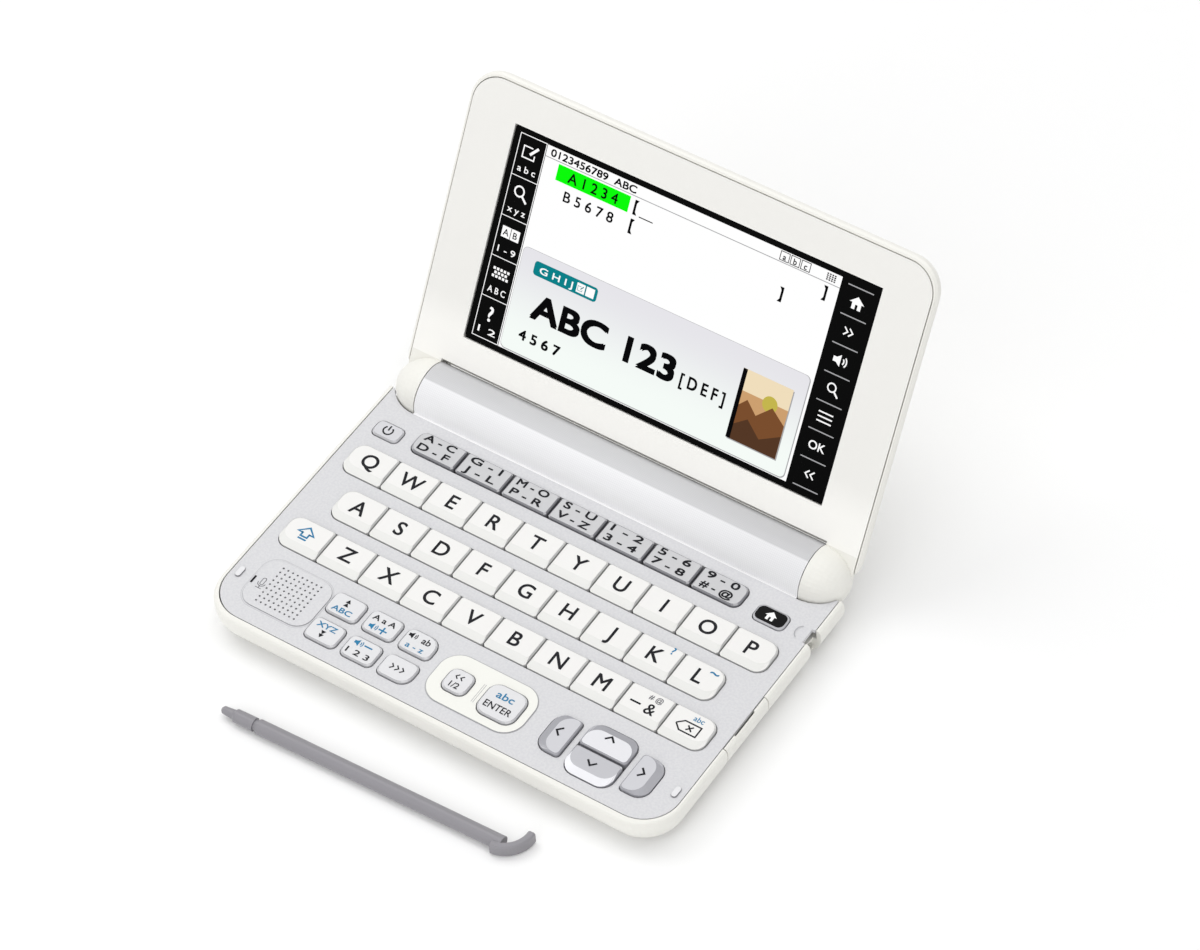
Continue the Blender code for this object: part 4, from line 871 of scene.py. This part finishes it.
@dataclass
class Keyboard:
    """Finishes and printed legends of the keys."""

    palette: Palette
    letter_height: float = 4.7
    letter_rise: float = 0.65
    letter_weight: float = 0.08
    upper_y: float = -28.3
    lower_y: float = -37.9
    rows: tuple[str, ...] = ("qwertyuiop", "asdfghjkl", "zxcvbnm")
    first_lines: tuple[str, ...] = ("A - C", "G - I", "M - O", "S - U", "1 - 2", "5 - 6", "9 - 0")
    second_lines: tuple[str, ...] = ("D - F", "J - L", "P - R", "V - Z", "3 - 4", "7 - 8", "# - @")

    @contextmanager
    def printed(self, node: str) -> Iterator[Sheet]:
        """Give a sheet to draw on in plan, and lay it on top of a key.

        Args:
            node: The key's node.

        Yields:
            The empty sheet.
        """
        sheet = Sheet(self.palette)
        yield sheet
        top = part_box(node)[1][2]
        place = Matrix.Translation((0.0, -PLAN_CENTRE * MM, top + LIFT * MM))
        sheet.piece(f"legend_{node}", place @ Matrix.Scale(MM, 4), node, Slot.PRINT)

    def dress(self) -> None:
        """Give every key its material."""
        letters = [f"key_{letter}" for row in self.rows for letter in row]
        white = self.palette.key(KEY_WHITE, KEY_SLOPE_SHADE, KEY_SIDE_SHADE)
        for name in [*letters, "key_shift", "key_minus", "key_delete"]:
            paint(name, white)
        category = self.palette.key(CATEGORY, CATEGORY.colour, CATEGORY_SIDE_SHADE)
        for index in range(len(self.first_lines)):
            paint(f"category_key_{index + 1}", category)
        function = self.palette.key(FUNCTION, FUNCTION.colour, FUNCTION_SIDE_SHADE)
        pairs = ("heading_up", "heading_down", "volume_up", "volume_down")
        for name in (*pairs, "voice", "jump", "back", "enter"):
            paint(f"key_{name}", function)
        paint("power_key", self.palette.key(POWER, POWER.colour, FUNCTION_SIDE_SHADE))
        paint("home_key", self.palette.key(HOME, HOME_EDGE, HOME_EDGE))
        paint("arrow_up", self.palette.key(ARROW_UP_LIT, ARROW_SLOPE_SHADE, ARROW_SLOPE_SHADE))
        paint("arrow_down", self.palette.key(ARROW_DOWN_SHADED, ARROW_SLOPE_HIGHLIGHT, ARROW_SLOPE_SHADE))
        side = self.palette.key(ARROW_SIDE_SHADED, ARROW_SLOPE_SHADE, ARROW_SLOPE_SHADE)
        for name in ("arrow_left", "arrow_right"):
            paint(name, side)

    def letters(self) -> None:
        """Print the letters, and the marks beside some of them."""
        for level, row in zip((1, 0, -1), self.rows):
            start = 1 if level < 0 else 0
            count = len(row) + 3 * start
            for index, letter in enumerate(row):
                x = (index + start - 0.5 * (count - 1)) * KEY_PITCH
                spot = (x, level * ROW_PITCH + self.letter_rise)
                with self.printed(f"key_{letter}") as sheet:
                    sheet.text(
                        letter.upper(), spot, self.letter_height, INK, weight=self.letter_weight
                    )
                    if letter == "k":
                        sheet.text("?", (x + 3.6, 3.9), 2.4, INK_BLUE, weight=0.05)
                    if letter == "l":
                        sheet.text("~", (x + 3.2, 3.6), 3.4, INK_BLUE, weight=0.05)

    def row_ends(self) -> None:
        """Print the shift, symbol and delete keys."""
        with self.printed("key_shift") as sheet:
            Icon(sheet, -61.0, -14.0, 4.0, INK_BLUE).shift()
        with self.printed("key_minus") as sheet:
            sheet.box((43.0, 46.2, -15.15, -14.6), INK)
            sheet.text("&", (49.3, -14.9), 3.6, INK, weight=0.04)
            sheet.text("# @", (48.9, -11.4), 1.6, INK_GREY, weight=0.02)
        with self.printed("key_delete") as sheet:
            Icon(sheet, 60.6, -14.9, 3.3, INK).erase()
            sheet.text("abc", (62.0, -11.3), 1.7, INK_BLUE, weight=0.02)

    def category_keys(self) -> None:
        """Print two short index lines on each category key."""
        for index, lines in enumerate(zip(self.first_lines, self.second_lines)):
            x = -55.3 + (index + 0.5) * 15.1 - 0.5
            with self.printed(f"category_key_{index + 1}") as sheet:
                for line, y in zip(lines, (30.35, 26.85)):
                    sheet.text(line, (x, y), 2.25, INK, weight=0.09, width=9.8)

    def small_keys(self) -> None:
        """Print the power and home keys."""
        with self.printed("power_key") as sheet:
            Icon(sheet, -63.3, 26.9, 3.3, INK).power()
        with self.printed("home_key") as sheet:
            Icon(sheet, 59.2, 26.9, 2.9, INK_WHITE).house()

    def function_keys(self) -> None:
        """Print the six function keys."""
        pair = ((1.0, "up", self.upper_y), (-1.0, "down", self.lower_y))
        for turn, way, y in pair:
            with self.printed(f"key_heading_{way}") as sheet:
                for shift in (0.55, 1.75):
                    Icon(sheet, -37.8, y + turn * shift, 1.25 * turn, INK).triangle()
                word = "ABC" if turn > 0.0 else "XYZ"
                spot = (-37.8, y - turn * 1.6)
                sheet.text(word, spot, 1.7, INK_BLUE, weight=0.04, width=6.0)
        for turn, way, y in pair:
            with self.printed(f"key_volume_{way}") as sheet:
                middle = y - turn * 1.6
                Icon(sheet, -27.7, middle, 2.6, INK_BLUE).speaker()
                sheet.box((-25.9, -23.4, middle - 0.22, middle + 0.22), INK_BLUE)
                if turn > 0.0:
                    sheet.box((-24.87, -24.43, y - 2.8, y - 0.4), INK_BLUE, 1)
                word = "A a A" if turn > 0.0 else "1 2 3"
                spot = (-26.0, y + turn * 1.4)
                sheet.text(word, spot, 1.8, INK, weight=0.04, width=7.0)
        with self.printed("key_voice") as sheet:
            Icon(sheet, -16.9, -26.9, 2.5, INK).speaker()
            sheet.text("ab", (-12.6, -26.9), 2.1, INK, weight=0.04)
            sheet.text("a - z", (-14.4, -29.9), 1.8, INK_BLUE, weight=0.03, width=5.4)
        with self.printed("key_jump") as sheet:
            for shift in (-1.6, 0.0, 1.6):
                Icon(sheet, -14.3 + shift, self.lower_y, 0.85, INK).chevron(0.0, 0.36)

    def pad_keys(self) -> None:
        """Print the back and enter keys."""
        with self.printed("key_back") as sheet:
            for shift in (-0.7, 0.8):
                Icon(sheet, 1.4 + shift, -32.0, 0.75, INK).chevron(180.0, 0.34)
            sheet.text("1/2", (1.5, -34.7), 1.9, INK, weight=0.03)
        with self.printed("key_enter") as sheet:
            sheet.text("abc", (15.4, -31.1), 2.3, INK_BLUE, weight=0.04, width=5.2)
            sheet.text("ENTER", (15.4, -35.0), 2.2, INK, weight=0.03, width=8.2)

    def arrows(self) -> None:
        """Print an open arrowhead on each arrow key."""
        for way, x, y, turn in (
            ("up", 45.9, -28.2, 90.0),
            ("down", 45.9, -37.2, 270.0),
            ("left", 33.1, -32.9, 180.0),
            ("right", 58.6, -32.9, 0.0),
        ):
            with self.printed(f"arrow_{way}") as sheet:
                Icon(sheet, x, y, 1.4, INK).chevron(turn, 0.55)

    def build(self) -> None:
        """Dress and print all the keys."""
        self.dress()
        self.letters()
        self.row_ends()
        self.category_keys()
        self.small_keys()
        self.function_keys()
        self.pad_keys()
        self.arrows()


@dataclass
class Housing:
    """Finishes of the case, the deck, the covers and the loose pieces, and the deck's marks."""

    palette: Palette
    marks_height: float = 0.25

    def dress(self) -> None:
        """Give every piece of the housing its material."""
        case = self.palette.case()
        for name in ("bottom_case", "battery_cover", "card_slot_cover"):
            paint(name, case)
        paint("lid_back_cover", self.palette.plain(CREAM))
        paint("lid_bezel", self.palette.bezel())
        paint("keyboard_deck", DeckPaint().material())
        names = ("display_module", "friction_hinge", "aa_cells", "stylus")
        for name, finish in zip(names, (GLASS, STEEL, CELL, STYLUS)):
            paint(name, self.palette.plain(finish))

    def marks(self) -> None:
        """Print the microphone sign, a dark box as painted shade in the lamp's slot, the stylus
        sign and the enter pad's lines.
        """
        sheet = Sheet(self.palette)
        Icon(sheet, -61.6, -32.7, 1.0, INK_GREY).microphone()
        # A dark box over the lamp's slot: painted shade of the opening.
        sheet.box((-64.65, -64.15, -34.35, -31.85), INK)
        sheet.stroke(arc((69.3, 26.7), 2.4, 120.0, 240.0, 16), 0.2, INK_PALE)
        for x in (7.9, 7.9 + 0.55):
            sheet.stroke([(x, -30.0), (x, -36.5)], 0.12, INK_PALE)
        height = DECK_TOP + self.marks_height + LIFT
        place = Matrix.Translation((0.0, -PLAN_CENTRE * MM, height * MM))
        sheet.piece("deck_marks_and_slot_shade", place @ Matrix.Scale(MM, 4), Body.BASE.value, Slot.PRINT)

    def build(self) -> None:
        """Dress and mark the housing."""
        self.dress()
        self.marks()


@dataclass
class Screen:
    """The picture on the display, which shows no real dictionary."""

    palette: Palette
    left: float = -46.0
    right: float = 45.6
    foot: float = 19.9
    top: float = 79.3
    strip_left: float = -54.7
    strip_right: float = 55.3
    boxes: int = 5
    lines: int = 7

    def lay(self, sheet: Sheet, name: str, layer: float) -> None:
        """Put a sheet on the display's glass.

        Args:
            sheet: The sheet, measured up the lid from the hinge axis.
            name: The piece's name.
            layer: How many layers it lies above the glass.
        """
        lift = Matrix.Translation((0.0, 0.0, (LIFT + layer * LAYER - GLASS_SETBACK) * MM))
        axis = Matrix.Translation((0.0, (AXIS_Y - PLAN_CENTRE) * MM, AXIS_Z * MM))
        place = axis @ Matrix.Rotation(LID_ANGLE, 4, "X") @ lift @ Matrix.Scale(MM, 4)
        sheet.piece(name, place, Body.LID.value, Slot.SCREEN)

    def page(self) -> None:
        """Draw the lit page: a title line and two entries."""
        sheet = Sheet(self.palette)
        sheet.box((self.left, self.right, self.foot, self.top), LIT_WHITE)
        sheet.box((self.left, self.right, 75.95, 76.2), LIT_GREY, 1)
        for column in range(4):
            for row in range(4):
                x, y = 41.2 + 0.75 * column, 76.75 + 0.55 * row
                sheet.box((x, x + 0.5, y, y + 0.38), LIT_BLACK, 1)
        sheet.text("0123456789  ABC", (-31.0, 77.75), 2.1, LIT_BLACK, 1, 0.07, 27.0)
        for k, sign in enumerate("abc"):
            x = 27.0 + 3.2 * k
            sheet.frame((x, x + 2.9, 76.45, 79.1), 0.22, LIT_BLACK, 1)
            sheet.text(sign, (x + 1.45, 77.7), 1.7, LIT_BLACK, 2, 0.04)
        sheet.box((-41.5, -18.6, 70.9, 75.5), LIT_GREEN, 1)
        sheet.text("A 1 2 3 4", (-30.0, 73.2), 3.0, LIT_BLACK, 2, 0.06, 15.6)
        sheet.text("B 5 6 7 8", (-30.0, 67.7), 3.0, LIT_BLACK, 2, 0.06, 15.6)
        for x, y in ((-16.4, 73.1), (-16.4, 67.7)):
            self.bracket(sheet, x, y, 1.0)
        for x, y in ((41.8, 73.1), (30.0, 67.7)):
            self.bracket(sheet, x, y, -1.0)
        sheet.box((-15.0, -10.6, 70.9, 71.2), LIT_BLACK, 1)
        self.lay(sheet, "screen_page", 0)

    @staticmethod
    def bracket(sheet: Sheet, x: float, y: float, turn: float) -> None:
        """Draw a heavy square bracket that opens left for a turn of one, or right for minus one."""
        points = [(x - 0.7 * turn, y + 2.1), (x + 0.6 * turn, y + 2.1), (x, y + 1.2), (x, y - 1.2)]
        sheet.polygon([*points, (x + 0.6 * turn, y - 2.1), (x - 0.7 * turn, y - 2.1)], LIT_BLACK, 1)

    def card(self) -> None:
        """Draw the card at the foot of the page, with a title and a tag."""
        sheet = Sheet(self.palette)
        sheet.round_box((-45.6, 44.9, 20.1, 50.1), 1.6, LIT_GREY)
        sheet.round_box((-45.5, 44.6, 20.4, 50.0), 1.5, PANEL, 1)
        sheet.text("ABC 123", (-16.2, 35.4), 7.2, LIT_BLACK, 2, 0.34, 45.0)
        sheet.text("[ D E F ]", (15.6, 34.0), 3.6, LIT_BLACK, 2, 0.12, 13.8)
        sheet.text("4 5 6 7", (-34.2, 26.0), 2.9, LIT_BLACK, 2, 0.12, 13.0)
        sheet.round_box((-41.2, -21.0, 43.4, 47.5), 1.0, LIT_TEAL, 2)
        sheet.text("G H I J", (-34.0, 45.4), 1.9, LIT_WHITE, 3, 0.05, 10.5)
        for x in (-27.5, -24.5):
            sheet.box((x, x + 2.6, 44.1, 46.8), LIT_WHITE, 3)
        Icon(sheet, -26.2, 45.4, 1.8, LIT_TEAL, 4.0).pencil()
        self.lay(sheet, "screen_card", 2)

    def landscape(self) -> None:
        """Draw a small picture of a low sun behind hills."""
        sheet = Sheet(self.palette)
        x0, x1, y0, y1 = 25.6, 41.0, 24.4, 44.6
        sheet.box((x0 + 0.35, x1 + 0.35, y0 - 0.35, y1 - 0.35), LIT_GREY)
        sheet.box((x0, x1, y0, y1), LIT_TAN, 1)
        sheet.box((x0, x1, 38.5, y1), LIT_CREAM, 2)
        sheet.disc((35.5, 38.0), 2.3, LIT_OLIVE, 3)
        far = [(x0, 33.0), (29.0, 36.6), (32.4, 33.4), (36.5, 37.4), (x1, 34.0), (x1, y0), (x0, y0)]
        near = [(x0, 27.8), (30.5, 31.5), (35.0, 27.6), (x1, 31.0), (x1, y0), (x0, y0)]
        sheet.polygon(far, LIT_BROWN, 4)
        sheet.polygon(near, LIT_UMBER, 5)
        sheet.box((x0, x0 + 1.3, y0, y1), LIT_BLACK, 6)
        self.lay(sheet, "screen_landscape", 5)

    def left_strip(self) -> None:
        """Draw the column of boxed signs on the left of the page."""
        sheet = Sheet(self.palette)
        step = (self.top - 0.1 - self.foot) / self.boxes
        x = -50.45
        for k in range(self.boxes):
            low = self.foot + k * step
            sheet.frame((self.strip_left, -46.2, low, low + step + 0.22), 0.22, LIT_WHITE)
        middles = [self.foot + (k + 0.64) * step for k in range(self.boxes)]
        sheet.text("?", (x, middles[0]), 4.4, LIT_WHITE, weight=0.08)
        for row in range(3):
            for column in range(5 - row % 2):
                cx = x - 2.2 + 1.1 * column + 0.55 * (row % 2)
                cy = middles[1] + 1.1 - 1.1 * row
                sheet.box((cx - 0.38, cx + 0.38, cy - 0.38, cy + 0.38), LIT_WHITE)
        for side, sign in ((-1.0, "A"), (1.0, "B")):
            cx = x + 1.45 * side
            sheet.box((cx - 1.35, cx + 1.35, middles[2] - 1.6, middles[2] + 1.6), LIT_WHITE)
            sheet.text(sign, (cx, middles[2]), 1.9, LIT_BLACK, 1, 0.03)
        Icon(sheet, x, middles[3], 4.8, LIT_WHITE).lens()
        Icon(sheet, x, middles[4], 4.6, LIT_WHITE).pencil()
        for middle, label in zip(middles, ("1 2", "A B C", "1 - 9", "x y z", "a b c")):
            sheet.text(label, (x, middle - 0.42 * step), 1.9, LIT_WHITE, 1, 0.03, 5.6)
        self.lay(sheet, "screen_left_strip", 0)

    def right_strip(self) -> None:
        """Draw the column of touch signs between short lines on the right of the page."""
        sheet = Sheet(self.palette)
        start, stop = 20.45, 78.25
        step = (stop - start) / self.lines
        x = 51.4
        for k in range(self.lines + 1):
            y = start + k * step
            sheet.box((47.6, self.strip_right, y - 0.16, y + 0.16), LIT_GREY)
        spots = [start + (k + 0.5) * step for k in range(self.lines)]
        for side in (-0.6, 0.9):
            Icon(sheet, x + side, spots[0], 1.1, LIT_WHITE).chevron(180.0, 0.4)
        sheet.text("OK", (x, spots[1]), 2.5, LIT_WHITE, weight=0.04)
        for low in (-1.5, -0.2, 1.1):
            sheet.box((x - 2.2, x + 2.2, spots[2] + low, spots[2] + low + 0.4), LIT_WHITE)
        Icon(sheet, x, spots[3], 4.0, LIT_WHITE).lens()
        Icon(sheet, x - 0.3, spots[4], 4.0, LIT_WHITE).speaker()
        for side in (-0.9, 0.6):
            Icon(sheet, x + side, spots[5], 1.1, LIT_WHITE).chevron(0.0, 0.4)
        Icon(sheet, x, spots[6], 3.6, LIT_WHITE).house()
        self.lay(sheet, "screen_right_strip", 0)

    def build(self) -> None:
        """Draw every part of the picture."""
        self.page()
        self.card()
        self.landscape()
        self.left_strip()
        self.right_strip()


@dataclass
class Studio:
    """Camera, lights and floor."""

    azimuth: float = math.radians(-37.8158)
    elevation: float = math.radians(50.1162)
    roll: float = math.radians(5.1637)
    eye: tuple[float, float, float] = (0.510773, -0.635400, 1.018983)
    lens: float = 147.704
    sensor: float = 36.0
    floor_size: float = 8.0
    floor_drop: float = 0.0001
    shadow_reach: float = 0.3
    white_reach: float = 0.7
    sky: float = 0.66

    def camera(self) -> None:
        """Stand the camera where the photograph was taken from."""
        flat = math.cos(self.elevation)
        east, north = math.sin(self.azimuth) * flat, math.cos(self.azimuth) * flat
        forward = Vector((east, north, -math.sin(self.elevation)))
        level = forward.cross(Vector((0.0, 0.0, 1.0))).normalized()
        down = forward.cross(level)
        right = math.cos(self.roll) * level + math.sin(self.roll) * down
        below = -math.sin(self.roll) * level + math.cos(self.roll) * down
        data = bpy.data.cameras.new("photo_camera")
        data.sensor_width = self.sensor
        data.lens = self.lens
        data.clip_start = 0.02
        camera = add("photo_camera", data)
        turn = Matrix((right, -below, -forward)).transposed().to_4x4()
        camera.matrix_world = Matrix.Translation(self.eye) @ turn
        bpy.context.scene.camera = camera

    def lamp(self, name: str, place: tuple[float, float, float], size: float, power: float) -> None:
        """Hang a soft disc lamp that faces the object.

        Args:
            name: The lamp's name.
            place: Where it hangs.
            size: Its diameter.
            power: Its power in watts.
        """
        data = bpy.data.lights.new(name, "AREA")
        data.shape = "DISK"
        data.size = size
        data.energy = power
        lamp = add(name, data)
        lamp.location = place
        lamp.rotation_euler = (-Vector(place)).to_track_quat("-Z", "Y").to_euler()

    @staticmethod
    def shown(tree: bpy.types.NodeTree) -> Socket:
        """Tell rays that are seen or mirrored from rays that light the object.

        Args:
            tree: The nodes that ask.

        Returns:
            One for a ray of the first kind and zero for one of the second.
        """
        path = tree.nodes.new("ShaderNodeLightPath")
        seen = path.outputs["Is Camera Ray"]
        for name in ("Is Glossy Ray", "Is Transmission Ray"):
            either = tree.nodes.new("ShaderNodeMath")
            either.operation = "MAXIMUM"
            tree.links.new(seen, either.inputs[0])
            tree.links.new(path.outputs[name], either.inputs[1])
            seen = either.outputs[0]
        return seen

    def floor_finish(self) -> Material:
        """Make the floor's material, which holds shadows near the object and is white beyond.

        Returns:
            The material.
        """
        graph = Graph(Finish("floor_white", (251, 251, 251), 0.9, specular=0.0))
        x, y, _ = graph.place()
        away = graph.ramp(graph.length(x, y), self.shadow_reach, self.white_reach)
        white = graph.put("ShaderNodeEmission", {"Color": (1.0, 1.0, 1.0, 1.0), "Strength": 1.0})
        share = graph.product(away, self.shown(graph.tree))
        both = {0: share, 1: graph.shader.outputs[0], 2: white.outputs[0]}
        mixed = graph.put("ShaderNodeMixShader", both)
        surface = graph.tree.nodes["Material Output"].inputs["Surface"]
        graph.tree.links.new(mixed.outputs[0], surface)
        return graph.material

    def floor(self) -> None:
        """Lay a pale floor under the object."""
        shape = bmesh.new()
        bmesh.ops.create_grid(shape, x_segments=1, y_segments=1, size=0.5 * self.floor_size)
        bmesh.ops.translate(shape, verts=shape.verts, vec=(0.0, 0.0, -self.floor_drop))
        mesh = bpy.data.meshes.new("floor")
        shape.to_mesh(mesh)
        shape.free()
        mesh.materials.append(self.floor_finish())
        add("floor", mesh)

    def surround(self) -> None:
        """Light the object at a plain level, with white where the sky is seen or mirrored."""
        world = bpy.data.worlds.new("studio")
        world.use_nodes = True
        tree = world.node_tree
        strength = tree.nodes.new("ShaderNodeMapRange")
        strength.inputs["To Min"].default_value = self.sky
        strength.inputs["To Max"].default_value = 1.0
        tree.links.new(self.shown(tree), strength.inputs["Value"])
        background = tree.nodes["Background"]
        background.inputs["Color"].default_value = (1.0, 1.0, 1.0, 1.0)
        tree.links.new(strength.outputs[0], background.inputs["Strength"])
        bpy.context.scene.world = world

    def build(self) -> None:
        """Set up the view."""
        self.camera()
        self.lamp("key_lamp", (-0.65, 0.1, 1.05), 0.8, 3.2)
        self.lamp("top_lamp", (0.15, 0.35, 1.3), 1.0, 3.4)
        self.lamp("fill_lamp", (0.1, -0.9, 0.6), 1.2, 2.8)
        self.floor()
        self.surround()
        bpy.context.scene.view_settings.view_transform = "Standard"
        LOG.info("camera, lamps and floor are in place")


def paint(node: str, material: Material) -> None:
    """Give a CAD node one material.

    Args:
        node: The node's name.
        material: Its material.
    """
    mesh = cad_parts[node].data
    mesh.materials.clear()
    mesh.materials.append(material)
    LOG.info("%s is finished in %s", node, material.name)


def main() -> None:
    """Dress the object and set up the view."""
    logging.basicConfig(level=logging.INFO, format="%(message)s")
    palette = Palette()
    Housing(palette).build()
    Keyboard(palette).build()
    Screen(palette).build()
    Studio().build()


if __name__ == "__main__":
    main()
